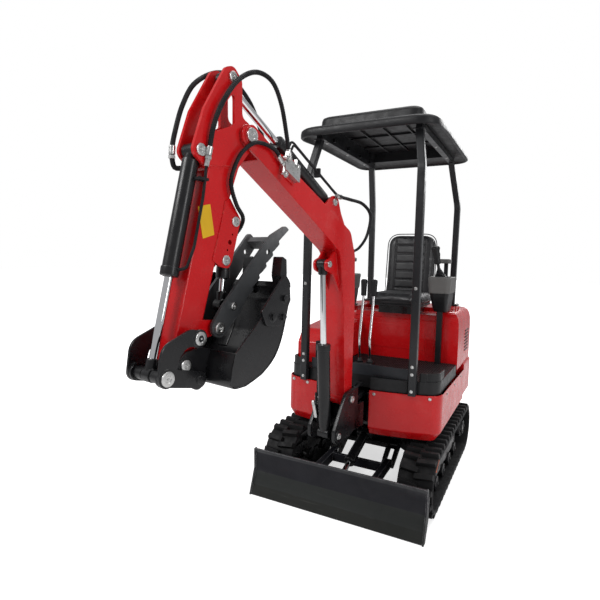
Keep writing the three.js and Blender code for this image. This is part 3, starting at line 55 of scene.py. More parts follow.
MM = 0.001
JOINTS = {j["name"]: j for j in frame["joints"]}
SLEW = Vector(JOINTS["slew"]["pos_m"])
SWING = Vector(JOINTS["boom_swing"]["pos_m"])
LEFT = -Vector(JOINTS["boom"]["axis"])
AHEAD = Vector((LEFT.y, -LEFT.x, 0))
UP = Vector((0, 0, 1))


def house(x, y, z):
    """A place in the house's frame: x to its left, y to its rear from the slew axis, z up."""
    return Vector((x * MM, SLEW.y + y * MM, z * MM))


def boom_plane(f, z, t):
    """A place on the boom's plane: f ahead of the swing axis, z up, t to the left of the plane."""
    return Vector((SWING.x, SWING.y, z * MM)) + AHEAD * (f * MM) + LEFT * (t * MM)


def profile(a, b, c):
    """Side outlines: (y, z), with x as the depth."""
    return house(c, a, b)


def elevation(a, b, c):
    """Front outlines: (x, z), with y as the depth."""
    return house(a, c, b)


# ---------------------------------------------------------------- camera, stage and light

CAMERA_AT = (894, -2924, 1293)
CAMERA_TURN = (27.66, -4.72, -1.39)  # azimuth, pitch and roll
LENS = 27.76


def camera():
    azimuth, pitch, roll = (math.radians(a) for a in CAMERA_TURN)
    ahead = Vector(
        (-math.sin(azimuth) * math.cos(pitch), math.cos(azimuth) * math.cos(pitch), math.sin(pitch))
    )
    right = Vector((math.cos(azimuth), math.sin(azimuth), 0))
    up = right.cross(ahead)
    side = right * math.cos(roll) - up * math.sin(roll)
    top = right * math.sin(roll) + up * math.cos(roll)
    data = bpy.data.cameras.new("camera")
    data.lens, data.sensor_width = LENS, 36
    data.clip_end = 100
    made = bpy.data.objects.new("camera", data)
    bpy.context.scene.collection.objects.link(made)
    made.matrix_world = Matrix.Translation(house(*CAMERA_AT)) @ Matrix(
        (side, top, -ahead)
    ).transposed().to_4x4()
    bpy.context.scene.camera = made


def area_light(name, at, towards, size, power):
    data = bpy.data.lights.new(name, "AREA")
    data.shape, data.size, data.size_y = "RECTANGLE", *size
    data.energy = power
    made = bpy.data.objects.new(name, data)
    bpy.context.scene.collection.objects.link(made)
    made.location = at
    made.rotation_mode = "QUATERNION"
    made.rotation_quaternion = (Vector(towards) - Vector(at)).to_track_quat("-Z", "Y")


def stage():
    """A pale floor with a soft shadow, a plain sky and four lamps."""
    mesh = bpy.data.meshes.new("floor")
    mesh.from_pydata([(-40, -40, 0), (40, -40, 0), (40, 40, 0), (-40, 40, 0)], [], [(0, 1, 2, 3)])
    floor = bpy.data.objects.new("floor", mesh)
    bpy.context.scene.collection.objects.link(floor)
    look = Look("floor_white")
    path = look.node("ShaderNodeLightPath").outputs["Is Camera Ray"]
    far = look.node("ShaderNodeVectorMath", {0: look.place}, operation="LENGTH").outputs["Value"]
    look.set(
        Base_Color=rgb(0.85, 0.85, 0.85), Roughness=0.9, Specular_IOR_Level=0.0,
        Emission_Color=rgb(1, 1, 1), Emission_Strength=look.times(path, look.ramp(far, 2.2, 4.5, 0.62, 1.1)),
    )
    floor.data.materials.append(look.material)

    world = bpy.data.worlds.new("world")
    bpy.context.scene.world = world
    world.use_nodes = True
    tree = world.node_tree
    background = tree.nodes["Background"]
    background.inputs["Strength"].default_value = 1.0
    path = tree.nodes.new("ShaderNodeLightPath")
    seen = tree.nodes.new("ShaderNodeMixRGB")
    seen.inputs[1].default_value = (0.42, 0.42, 0.43, 1)
    seen.inputs[2].default_value = (1, 1, 1, 1)
    tree.links.new(path.outputs["Is Camera Ray"], seen.inputs[0])
    tree.links.new(seen.outputs[0], background.inputs["Color"])

    centre = (0, 0.2, 1.0)
    area_light("key", (-2.6, -4.2, 4.4), centre, (2.6, 2.0), 150)
    area_light("side", (4.2, -1.6, 2.6), centre, (1.2, 3.0), 60)
    area_light("top", (0.4, 0.6, 5.6), centre, (3.5, 3.5), 110)
    area_light("rear", (1.2, 5.0, 3.4), centre, (3.0, 2.0), 70)
    bpy.context.scene.view_settings.view_transform = "Standard"


# ---------------------------------------------------------------- materials

PATCHY = 0.75  # the top of a pattern in which the second value covers less


class Look:
    """A node material built from short calls. A value is a number, a colour or a socket."""

    def __init__(self, name):
        self.material = bpy.data.materials.new(name)
        self.material.use_nodes = True
        self.tree = self.material.node_tree
        self.shader = self.tree.nodes["Principled BSDF"]
        self.place = self.node("ShaderNodeTexCoord").outputs["Object"]

    def node(self, kind, values=(), **settings):
        made = self.tree.nodes.new(kind)
        for key, value in settings.items():
            setattr(made, key, value)
        for key, value in dict(values).items():
            self.put(made.inputs[key], value)
        return made

    def put(self, socket, value):
        if isinstance(value, bpy.types.NodeSocket):
            self.tree.links.new(value, socket)
        else:
            socket.default_value = value

    def set(self, **values):
        for key, value in values.items():
            self.put(self.shader.inputs[key.replace("_", " ")], value)

    def noise(self, scale, detail=4, rough=0.55, stretch=None):
        where = self.place
        if stretch:
            where = self.node("ShaderNodeMapping", {"Vector": where, "Scale": stretch}).outputs[0]
        return self.node(
            "ShaderNodeTexNoise",
            {"Vector": where, "Scale": scale, "Detail": detail, "Roughness": rough},
        ).outputs["Fac"]

    def ramp(self, factor, low, high, a, b):
        """Maps factor from low..high to a..b, where a and b are numbers."""
        return self.node(
            "ShaderNodeMapRange",
            {"Value": factor, "From Min": low, "From Max": high, "To Min": a, "To Max": b},
            interpolation_type="SMOOTHSTEP",
        ).outputs[0]

    def cloud(self, scale, detail, a, b, high=0.7):
        """A soft pattern that runs from a to b."""
        return self.ramp(self.noise(scale, detail), 0.3, high, a, b)

    def mix(self, factor, a, b):
        made = self.node("ShaderNodeMixRGB")
        for socket, value in zip(made.inputs, (factor, a, b)):
            self.put(socket, value)
        return made.outputs[0]

    def times(self, a, b):
        made = self.node("ShaderNodeMath", operation="MULTIPLY")
        self.put(made.inputs[0], a)
        self.put(made.inputs[1], b)
        return made.outputs[0]

    def bump(self, height, strength, distance=0.001, under=None):
        values = {"Height": height, "Strength": strength, "Distance": distance}
        if under:
            values["Normal"] = under
        return self.node("ShaderNodeBump", values).outputs[0]

    def edges(self, width):
        """1 on sharp edges and 0 on flat faces, from the rounded normal."""
        soft = self.node("ShaderNodeBevel", {"Radius": width}, samples=4).outputs[0]
        true = self.node("ShaderNodeNewGeometry").outputs["True Normal"]
        made = self.node("ShaderNodeVectorMath", operation="DOT_PRODUCT")
        self.put(made.inputs[0], soft)
        self.put(made.inputs[1], true)
        return self.ramp(made.outputs["Value"], 0.985, 0.86, 0, 1)


def rgb(r, g, b):
    return (r, g, b, 1)


def shade(colour, factor):
    return rgb(*[c * factor for c in colour])


def red_paint():
    look = Look("red_paint")
    cloud = look.cloud(2.2, 3, 0, 1)
    colour = look.mix(cloud, rgb(0.50, 0.004, 0.006), rgb(0.57, 0.006, 0.008))
    rubbed = look.times(look.edges(0.0022), look.ramp(look.noise(38), 0.5, 0.64, 0, 0.6))
    colour = look.mix(rubbed, colour, rgb(0.62, 0.10, 0.08))
    dust = look.ramp(look.noise(9, 6), 0.52, 0.78, 0, 0.05)
    colour = look.mix(dust, colour, rgb(0.55, 0.40, 0.35))
    peel = look.bump(look.noise(420, 2), 0.05, 0.0006)
    look.set(
        Base_Color=colour,
        Roughness=look.cloud(14, 5, 0.2, 0.34, PATCHY),
        Coat_Weight=0.22,
        Coat_Roughness=0.08,
        Specular_IOR_Level=0.28,
        Normal=look.bump(look.noise(5, 3), 0.12, 0.004, peel),
    )
    return look.material


def dark_paint(name, low, high, roughness, coat, scuff=0.3):
    look = Look(name)
    colour = look.mix(look.cloud(3, 4, 0, 1), low, high)
    marks = look.ramp(look.noise(55, 6, 0.7, (1, 1, 0.18)), 0.60, 0.72, 0, scuff * 0.35)
    colour = look.mix(marks, colour, rgb(0.13, 0.13, 0.135))
    rubbed = look.times(look.edges(0.002), look.ramp(look.noise(46), 0.42, 0.66, 0, scuff))
    colour = look.mix(rubbed, colour, rgb(0.30, 0.30, 0.31))
    look.set(
        Base_Color=colour,
        Roughness=look.cloud(22, 5, roughness - 0.07, roughness + 0.12, PATCHY),
        Coat_Weight=coat,
        Coat_Roughness=0.2,
        Specular_IOR_Level=0.3,
        Normal=look.bump(look.noise(330, 3), 0.10, 0.0006),
    )
    return look.material


def blade_paint():
    """Dark plate with bands by height painted as the light and shade of its bent faces, a lighter band painted as
    a highlight on its top lip, and scraped towards the ground.
    """
    look = Look("blade_paint")
    tall = look.node("ShaderNodeSeparateXYZ", {"Vector": look.place}).outputs["Z"]
    colour = look.mix(
        look.cloud(4, 5, 0, 1), rgb(0.008, 0.008, 0.011), rgb(0.012, 0.012, 0.016)
    )
    # Painted light and shade: the lighter bands below 120 mm and 48 mm stand in for the shading of the bent faces,
    # and the lighter band above 230 mm is a painted highlight on the top lip.
    colour = look.mix(look.ramp(tall, 0.124, 0.120, 0, 1), colour, rgb(0.019, 0.021, 0.020))
    colour = look.mix(look.ramp(tall, 0.052, 0.048, 0, 1), colour, rgb(0.014, 0.015, 0.013))
    colour = look.mix(look.ramp(tall, 0.226, 0.230, 0, 1), colour, rgb(0.032, 0.033, 0.036))
    scrape = look.ramp(look.noise(16, 8, 0.75, (0.25, 1, 6)), 0.55, 0.74, 0, 0.35)
    scrape = look.times(scrape, look.ramp(tall, 0.135, 0.04, 0.1, 1))
    colour = look.mix(scrape, colour, rgb(0.075, 0.073, 0.068))
    rubbed = look.times(look.edges(0.003), look.ramp(look.noise(30), 0.3, 0.6, 0.2, 0.9))
    colour = look.mix(rubbed, colour, rgb(0.30, 0.30, 0.31))
    look.set(
        Base_Color=colour,
        Roughness=look.cloud(18, 6, 0.4, 0.62, PATCHY),
        Specular_IOR_Level=0.25,
        Normal=look.bump(look.noise(240, 4), 0.16, 0.0008),
    )
    return look.material


def thumb_paint():
    """Dark plate, lighter and partly metallic towards the top as a painted highlight."""
    look = Look("thumb_paint")
    tall = look.node("ShaderNodeSeparateXYZ", {"Vector": look.place}).outputs["Z"]
    colour = look.mix(look.noise(12, 4), rgb(0.028, 0.03, 0.032), rgb(0.05, 0.052, 0.055))
    # Painted highlight: the upper part is made lighter and partly metallic, standing in for the light that falls
    # on it.
    painted_top_highlight = look.times(
        look.ramp(tall, 1.30, 1.52, 0, 1), look.ramp(look.noise(26, 6, 0.7), 0.32, 0.6, 0.45, 1)
    )
    colour = look.mix(painted_top_highlight, colour, rgb(0.26, 0.26, 0.265))
    rubbed = look.times(look.edges(0.002), look.ramp(look.noise(46), 0.45, 0.66, 0, 0.4))
    look.set(
        Base_Color=look.mix(rubbed, colour, rgb(0.3, 0.3, 0.3)),
        Metallic=look.times(painted_top_highlight, 0.6),
        Roughness=look.cloud(40, 5, 0.36, 0.55, PATCHY),
        Normal=look.bump(look.noise(260, 4), 0.2, 0.0008),
    )
    return look.material


def rubber(name, colour=(0.014, 0.014, 0.015), chalk=0.3):
    look = Look(name)
    base = look.mix(look.cloud(7, 5, 0, 1), rgb(*colour), shade(colour, 1.8))
    dusty = look.ramp(look.noise(17, 8, 0.7), 0.5, 0.75, 0, chalk)
    base = look.mix(dusty, base, rgb(0.075, 0.070, 0.064))
    look.set(
        Base_Color=base,
        Roughness=look.cloud(30, 4, 0.5, 0.8),
        Specular_IOR_Level=0.25,
        Normal=look.bump(look.noise(500, 5), 0.25, 0.0008),
    )
    return look.material


def plastic(name, colour, roughness, grain=0.25, scale=900):
    look = Look(name)
    base = look.mix(look.cloud(4, 3, 0, 1), shade(colour, 0.88), shade(colour, 1.12))
    cells = look.node("ShaderNodeTexVoronoi", {"Vector": look.place, "Scale": scale}).outputs["Distance"]
    look.set(
        Base_Color=base,
        Roughness=look.cloud(25, 5, roughness - 0.08, roughness + 0.1, PATCHY),
        Specular_IOR_Level=0.32,
        Normal=look.bump(cells, grain, 0.0005),
    )
    return look.material


def metal(name, colour, low, high, streak=(1, 1, 1), bump=0.05):
    look = Look(name)
    look.set(
        Base_Color=look.mix(look.noise(40, 4), shade(colour, 0.86), rgb(*colour)),
        Metallic=1.0,
        Roughness=look.ramp(look.noise(60, 5, 0.6, streak), 0.3, 0.7, low, high),
        Normal=look.bump(look.noise(300, 3, 0.5, streak), bump, 0.0004),
    )
    return look.material


def vinyl():
    look = Look("vinyl")
    creases = look.node(
        "ShaderNodeTexVoronoi", {"Vector": look.place, "Scale": 420.0}, feature="DISTANCE_TO_EDGE"
    ).outputs["Distance"]
    look.set(
        Base_Color=look.mix(look.noise(8, 5), rgb(0.008, 0.008, 0.009), rgb(0.018, 0.018, 0.020)),
        Roughness=look.cloud(24, 5, 0.33, 0.52, PATCHY),
        Sheen_Weight=0.08,
        Normal=look.bump(look.noise(7, 4), 0.25, 0.006, look.bump(creases, 0.18, 0.0004)),
    )
    return look.material


MATERIALS = {
    "red_paint": red_paint(),
    "black_paint": dark_paint("black_paint", rgb(0.004, 0.004, 0.005), rgb(0.009, 0.009, 0.010), 0.3, 0.2),
    "post_paint": dark_paint(
        "post_paint", rgb(0.011, 0.0115, 0.013), rgb(0.019, 0.020, 0.022), 0.34, 0.15, 0.2),
    "grey_paint": dark_paint(
        "grey_paint", rgb(0.014, 0.016, 0.020), rgb(0.023, 0.026, 0.031), 0.42, 0.1, 0.25),
    "blade_paint": blade_paint(),
    "thumb_paint": thumb_paint(),
    "track_rubber": rubber("track_rubber", (0.006, 0.006, 0.0065), 0.16),
    "black_hose": rubber("black_hose", (0.006, 0.006, 0.007), 0.08),
    "mat_rubber": rubber("mat_rubber", (0.010, 0.010, 0.011), 0.3),
    "black_plastic": plastic("black_plastic", (0.008, 0.008, 0.009), 0.4),
    "grey_plastic": plastic("grey_plastic", (0.11, 0.107, 0.103), 0.5),
    "chrome_rod": metal("chrome_rod", (0.86, 0.87, 0.88), 0.04, 0.12, (1, 1, 0.2), 0.01),
    "bare_steel": metal("bare_steel", (0.62, 0.62, 0.61), 0.22, 0.42),
    "cast_block": plastic("cast_block", (0.2, 0.2, 0.2), 0.75, 0.8, 300),
    "vinyl": vinyl(),
    "orange_mark": plastic("orange_mark", (0.5, 0.09, 0.02), 0.6),
    "yellow_plate": plastic("yellow_plate", (0.72, 0.42, 0.01), 0.4),
}
SLOTS = {s["node"]: s["material_slot"] for s in frame["record"]["subparts"]}


# ---------------------------------------------------------------- meshes


def turned(before, at, after, radius, steps):
    """The curve that turns the corner at a point on a radius."""
    back, on = before - at, after - at
    half = math.acos(max(-1, min(1, back.normalized().dot(on.normalized())))) / 2
    reach = min(radius / math.tan(half) if half else 0, 0.49 * min(back.length, on.length))
    start, end = at + back.normalized() * reach, at + on.normalized() * reach
    shares = [k / steps for k in range(steps + 1)]
    return [start * (1 - u) ** 2 + at * (2 * u * (1 - u)) + end * u * u for u in shares]


def rounded(corners, steps=7):
    """An outline through corners [a, b, radius], with each radius drawn as a curve."""
    points = []
    for i, corner in enumerate(corners):
        at = Vector(corner[:2])
        if len(corner) < 3 or not corner[2]:
            points.append(at)
            continue
        before, after = Vector(corners[i - 1][:2]), Vector(corners[(i + 1) % len(corners)][:2])
        points += turned(before, at, after, corner[2], steps)
    return [(p.x, p.y) for p in points]


def oblong(a0, b0, a1, b1, radius, far=None):
    """A rectangle's corners, with their own radius at its far side."""
    far = radius if far is None else far
    return [(a0, b0, radius), (a1, b0, radius), (a1, b1, far), (a0, b1, far)]


def around(a, b, steps=14):
    """The outline round two circles, [a, b, radius] each."""
    (ax, ay, ra), (bx, by, rb) = a, b
    length = math.hypot(bx - ax, by - ay)
    along = math.atan2(by - ay, bx - ax)
    spread = math.acos((ra - rb) / length)
    points = []
    for (x, y, r), start, turn in (
        ((ax, ay, ra), along + spread, 2 * math.pi - 2 * spread),
        ((bx, by, rb), along - spread, 2 * spread),
    ):
        for k in range(steps + 1):
            angle = start + turn * k / steps
            points.append((x + r * math.cos(angle), y + r * math.sin(angle)))
    return points


def spaced(line, shares):
    """Points at rising shares of a line's length."""
    reach = [0.0]
    for a, b in zip(line, line[1:]):
        reach.append(reach[-1] + (b - a).length)
    points, k = [], 0
    for share in shares:
        want = reach[-1] * share
        while k < len(reach) - 2 and reach[k + 1] < want:
            k += 1
        span = reach[k + 1] - reach[k]
        points.append(line[k].lerp(line[k + 1], (want - reach[k]) / span if span else 0))
    return points


def spline(points, count, fineness=24):
    """Points evenly spaced along a smooth curve through the given ones."""
    ps = [Vector(p) for p in points]
    fine = []
    for i in range(len(ps) - 1):
        p0 = ps[i - 1] if i else ps[0] * 2 - ps[1]
        p1, p2 = ps[i], ps[i + 1]
        p3 = ps[i + 2] if i + 2 < len(ps) else ps[-1] * 2 - ps[-2]
        for k in range(fineness):
            u = k / fineness
            fine.append(
                0.5 * (2 * p1 + (p2 - p0) * u + (2 * p0 - 5 * p1 + 4 * p2 - p3) * u * u
                       + (3 * p1 - p0 - 3 * p2 + p3) * u ** 3)
            )
    return spaced(fine + [ps[-1]], [i / count for i in range(count + 1)])


def bent(points, radius, steps=6):
    """A line through points with each inner corner turned on a radius, as a bent pipe has."""
    ps = [Vector(p) for p in points]
    line = [ps[0]]
    for before, at, after in zip(ps, ps[1:], ps[2:]):
        line += turned(before, at, after, radius, steps)
    return line + [ps[-1]]


def skin(bm, rings, loop=False):
    """Faces between rings of vertices, as many in each, and on the two ends unless they meet."""
    onward = rings[1:] + rings[:1] if loop else rings[1:]
    for a, b in zip(rings, onward):
        for i in range(len(a)):
            k = (i + 1) % len(a)
            bm.faces.new((a[i], a[k], b[k], b[i]))
    if not loop:
        bm.faces.new(rings[0])
        bm.faces.new(rings[-1])


BEVEL_ABOVE = math.radians(28)
SHARP_ABOVE = math.radians(34)


class Build:
    """Closed solids gathered in one mesh, in millimetres until they are placed."""

    def __init__(self):
        self.bm = bmesh.new()

    def prism(self, outline, low, high, place, bevel=2.0, segments=2, holes=()):
        bm = bmesh.new()
        ends = []
        for c in (low, high):
            loops = [[bm.verts.new(place(a, b, c)) for a, b in line] for line in (outline, *holes)]
            ends.append(loops)
        for lower, upper in zip(*ends):
            for i in range(len(lower)):
                k = (i + 1) % len(lower)
                bm.faces.new((lower[i], lower[k], upper[k], upper[i]))
        for loops in ends:
            if holes:
                edges = [bm.edges.get((l[i], l[(i + 1) % len(l)])) for l in loops for i in range(len(l))]
                bmesh.ops.triangle_fill(bm, edges=edges, use_beauty=True)
            else:
                bm.faces.new(loops[0])
        self.add(bm, bevel, segments)

    def add(self, bm, bevel=0.0, segments=2):
        bmesh.ops.recalc_face_normals(bm, faces=bm.faces)
        if bevel:
            sharp = [e for e in bm.edges if e.is_manifold and e.calc_face_angle(0) > BEVEL_ABOVE]
            bmesh.ops.bevel(
                bm, geom=sharp, offset=bevel * MM, segments=segments, profile=0.6,
                affect="EDGES", clamp_overlap=True,
            )
        mesh = bpy.data.meshes.new("part")
        bm.to_mesh(mesh)
        bm.free()
        self.bm.from_mesh(mesh)
        bpy.data.meshes.remove(mesh)

    def box(self, low, high, place, bevel=2.0, segments=2):
        """A block between two corners in the place's own three directions."""
        (a0, b0, c0), (a1, b1, c1) = low, high
        self.prism([(a0, b0), (a1, b0), (a1, b1), (a0, b1)], c0, c1, place, bevel, segments)

    def lathe(self, line, at, way, sides=32):
        """A turned solid: line is [distance along way, radius] in millimetres, from one end to the other."""
        way = Vector(way).normalized()
        turn = way.to_track_quat("Z", "Y")
        bm = bmesh.new()
        rings = []
        for s, radius in line:
            if radius <= 0:
                rings.append([bm.verts.new(at + way * (s * MM))])
                continue
            rings.append([
                bm.verts.new(
                    at + turn @ Vector((
                        radius * MM * math.cos(2 * math.pi * k / sides),
                        radius * MM * math.sin(2 * math.pi * k / sides),
                        s * MM,
                    ))
                )
                for k in range(sides)
            ])
        for a, b in zip(rings, rings[1:]):
            for k in range(sides):
                j = (k + 1) % sides
                if len(a) == 1 and len(b) > 1:
                    bm.faces.new((a[0], b[k], b[j]))
                elif len(b) == 1 and len(a) > 1:
                    bm.faces.new((a[k], a[j], b[0]))
                elif len(a) > 1:
                    bm.faces.new((a[k], a[j], b[j], b[k]))
        for ring in (rings[0], rings[-1]):
            if len(ring) > 1:
                bm.faces.new(ring)
        self.add(bm)

    def rod(self, start, end, radius, sides=24, chamfer=1.5):
        """A round bar between two placed points, with chamfered ends."""
        length = (end - start).length / MM
        end_radius = radius - chamfer
        line = [(0, end_radius), (chamfer, radius), (length - chamfer, radius), (length, end_radius)]
        self.lathe(line, start, end - start, sides)

    def tube(self, points, radius, sides=12):
        """A tube along placed points. radius is in millimetres, or gives them at a distance and an angle."""
        points = [Vector(p) for p in points]
        bm = bmesh.new()
        ways = []
        for i in range(len(points)):
            ways.append((points[min(i + 1, len(points) - 1)] - points[max(i - 1, 0)]).normalized())
        normal = ways[0].orthogonal().normalized()
        rings, s = [], 0.0
        for i, (p, way) in enumerate(zip(points, ways)):
            if i:
                normal = ways[i - 1].rotation_difference(way) @ normal
                s += (p - points[i - 1]).length / MM
            normal = (normal - way * normal.dot(way)).normalized()
            other = way.cross(normal)
            ring = []
            for k in range(sides):
                angle = 2 * math.pi * k / sides
                r = radius(s, angle) if callable(radius) else radius
                ring.append(bm.verts.new(p + (normal * math.cos(angle) + other * math.sin(angle)) * (r * MM)))
            rings.append(ring)
        skin(bm, rings)
        self.add(bm)

    def bolt(self, at, way, radius=7, height=6):
        """A hexagon head on its washer."""
        way = Vector(way).normalized()
        self.lathe([(0, radius * 1.45), (1.4, radius * 1.45), (1.8, radius * 1.3)], at, way, 20)
        self.lathe(
            [(1.5, radius), (height - 1, radius), (height, radius * 0.82), (height, 0)], at, way, 6
        )

    def pin_head(self, at, way, radius=20, height=9):
        """The domed end of a pin, with its turned recess and its grease nipple."""
        way = Vector(way).normalized()
        self.lathe(
            [(-1, radius), (height - 3, radius), (height - 1, radius - 1.2), (height, radius - 3.5),
             (height, radius * 0.5), (height - 2.5, radius * 0.42), (height - 2.5, 4.2),
             (height + 1, 3.6), (height + 2.5, 2.2), (height + 3.5, 0)],
            at, way, 32,
        )

    def done(self, name, material, body, slot=None, replaces=(), angle=34):
        bmesh.ops.remove_doubles(self.bm, verts=self.bm.verts, dist=1e-7)
        mesh = bpy.data.meshes.new(name)
        self.bm.to_mesh(mesh)
        self.bm.free()
        for polygon in mesh.polygons:
            polygon.use_smooth = True
        mesh.set_sharp_from_angle(angle=math.radians(angle))
        made = bpy.data.objects.new(name, mesh)
        bpy.context.scene.collection.objects.link(made)
        mesh.materials.append(MATERIALS[material])
        if isinstance(body, str):
            weighted = made.modifiers.new("weighted", "WEIGHTED_NORMAL")
            weighted.keep_sharp = True
            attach(made, body)
        else:
            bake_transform(made)
        if replaces:
            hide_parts(*replaces)
        return made


def smooth_by_angle():
    """A modifier's node group: smooth faces, with the steeper edges kept sharp."""
    group = bpy.data.node_groups.new("smooth_by_angle", "GeometryNodeTree")
    group.interface.new_socket("Geometry", in_out="INPUT", socket_type="NodeSocketGeometry")
    group.interface.new_socket("Geometry", in_out="OUTPUT", socket_type="NodeSocketGeometry")
    nodes, links = group.nodes, group.links
    start, end = nodes.new("NodeGroupInput"), nodes.new("NodeGroupOutput")
    faces, edges = nodes.new("GeometryNodeSetShadeSmooth"), nodes.new("GeometryNodeSetShadeSmooth")
    edges.domain = "EDGE"
    edges.inputs["Shade Smooth"].default_value = False
    angle = nodes.new("GeometryNodeInputMeshEdgeAngle")
    above = nodes.new("FunctionNodeCompare")
    above.operation = "GREATER_THAN"
    above.inputs[1].default_value = SHARP_ABOVE
    links.new(angle.outputs["Unsigned Angle"], above.inputs[0])
    links.new(above.outputs[0], edges.inputs["Selection"])
    links.new(start.outputs[0], faces.inputs["Geometry"])
    links.new(faces.outputs[0], edges.inputs["Geometry"])
    links.new(edges.outputs[0], end.inputs[0])
    return group


SMOOTH = smooth_by_angle()


def soften(node, material, bevel=1.6):
    """A CAD node that stays: its own material, rounded edges and smooth shading."""
    piece = frame["nodes"][node]
    piece.data.materials.clear()
    piece.data.materials.append(MATERIALS[material])
    weld = piece.modifiers.new("weld", "WELD")
    weld.merge_threshold = 1e-5
    round_edges = piece.modifiers.new("bevel", "BEVEL")
    round_edges.width = bevel * MM
    round_edges.segments = 2
    round_edges.limit_method = "ANGLE"
    round_edges.angle_limit = SHARP_ABOVE
    smooth = piece.modifiers.new("smooth", "NODES")
    smooth.node_group = SMOOTH


# ---------------------------------------------------------------- boom, arm and their pins
# The pins in the boom's plane, [F, z].

BOOM_FOOT, BOOM_TIP = (96, 600), (854, 1743)
BOOM_BASE_PIN, BOOM_ROD_PIN = (216, 440), (277, 1285)
ARM_BASE_PIN, ARM_ROD_PIN = (267, 1573), (934, 1926)
BUCKET_BASE_PIN, ROD_PIN = (1074, 1651), (1240, 925)
LINK_PIN, BUCKET_PIN, HITCH_PIN = (1110, 1035), (1150, 948), (1098, 893)
THUMB_PIN, THUMB_ROD_PIN = (1007, 1056), (940, 1129)
THUMB_BASE_PIN, THUMB_SPARE_PIN = (911, 1431), (957, 1291)
BOOM_HALF, ARM_HALF = 58, 42
PIN_RADIUS = 14


def pair(b, outline, inner, outer, bevel=2.0, holes=()):
    """Two like plates, one at each side of the boom's plane."""
    b.prism(outline, inner, outer, boom_plane, bevel, 2, holes)
    b.prism(outline, -outer, -inner, boom_plane, bevel, 2, holes)


def cross_bar(b, at, radius, t0, t1, sides=36, chamfer=1.5):
    """A round bar across the boom's plane, from t0 to t1."""
    b.rod(boom_plane(*at, t0), boom_plane(*at, t1), radius, sides, chamfer)


def circle(at, radius, steps=24):
    turns = [2 * math.pi * k / steps for k in range(steps)]
    return [(at[0] + radius * math.cos(turn), at[1] + radius * math.sin(turn)) for turn in turns]


def weld(b, corners, t, radius=3.0, wave=0.5):
    """A weld bead along [F, z] corners at the distance t from the boom's plane."""
    line = spline([boom_plane(f, z, t) for f, z in corners], int(len(corners) * 34))
    b.tube(line, lambda s, angle: radius + wave * math.sin(s * 1.1), 8)


def boom():
    """The boom's box with its fork, ears, bosses and welds."""
    b = Build()
    (foot_f, foot_z), (tip_f, tip_z) = BOOM_FOOT, BOOM_TIP
    box = rounded([
        (foot_f - 34, foot_z + 4), (58, 1060, 300), (72, 1330, 60), (120, 1446, 60), (210, 1490, 80),
        (tip_f - 90, tip_z - 4), (tip_f - 50, tip_z - 74), (338, 1414, 80), (216, 1345, 50),
        (163, 1068, 300), (foot_f + 34, foot_z + 4),
    ], 12)
    b.prism(box, -BOOM_HALF + 1, BOOM_HALF - 1, boom_plane, 7, 4)
    pair(b, box, BOOM_HALF - 9, BOOM_HALF, 1.6)
    cross_bar(b, BOOM_FOOT, 38, -BOOM_HALF, BOOM_HALF, 40, 3)
    fork = rounded([
        (tip_f - 200, tip_z - 52), (tip_f - 12, tip_z + 44, 30), (tip_f + 44, tip_z + 20, 40),
        (tip_f + 44, tip_z - 24, 40), (tip_f + 10, tip_z - 44, 30), (tip_f - 200, tip_z - 150),
    ], 10)
    pair(b, fork, BOOM_HALF - 11, BOOM_HALF + 0.5)
    for t in (BOOM_HALF - 2, -BOOM_HALF - 3.5):
        cross_bar(b, BOOM_TIP, 32, t, t + 5.5, 40, 1)
    arm_ear = rounded([
        (150, 1450), (205, 1530, 40), (232, 1592, 30), (267, 1608, 30), (300, 1588, 30),
        (350, 1548), (350, 1500),
    ], 10)
    pair(b, arm_ear, BOOM_HALF - 21, BOOM_HALF - 8)
    boom_ear = rounded([
        (200, 1380), (262, 1316, 20), (306, 1300, 26), (300, 1256, 26), (236, 1236, 30), (150, 1110),
    ], 10)
    pair(b, boom_ear, 25, 38)
    for t in (BOOM_HALF - 7, 7 - BOOM_HALF):
        weld(b, [(180, 1478), (235, 1502), (350, 1553)], t, 3)
    for t in (39, -39):
        weld(b, [(165, 1135), (200, 1240), (224, 1340)], t, 3)
    b.prism(rounded([(590, 1700, 6), (596, 1598, 10), (676, 1634, 10), (690, 1712, 6)], 4),
            BOOM_HALF - 2, BOOM_HALF + 6, boom_plane, 1.5)
    b.done("boom_box", "red_paint", "boom", "red_paint", ["boom"])


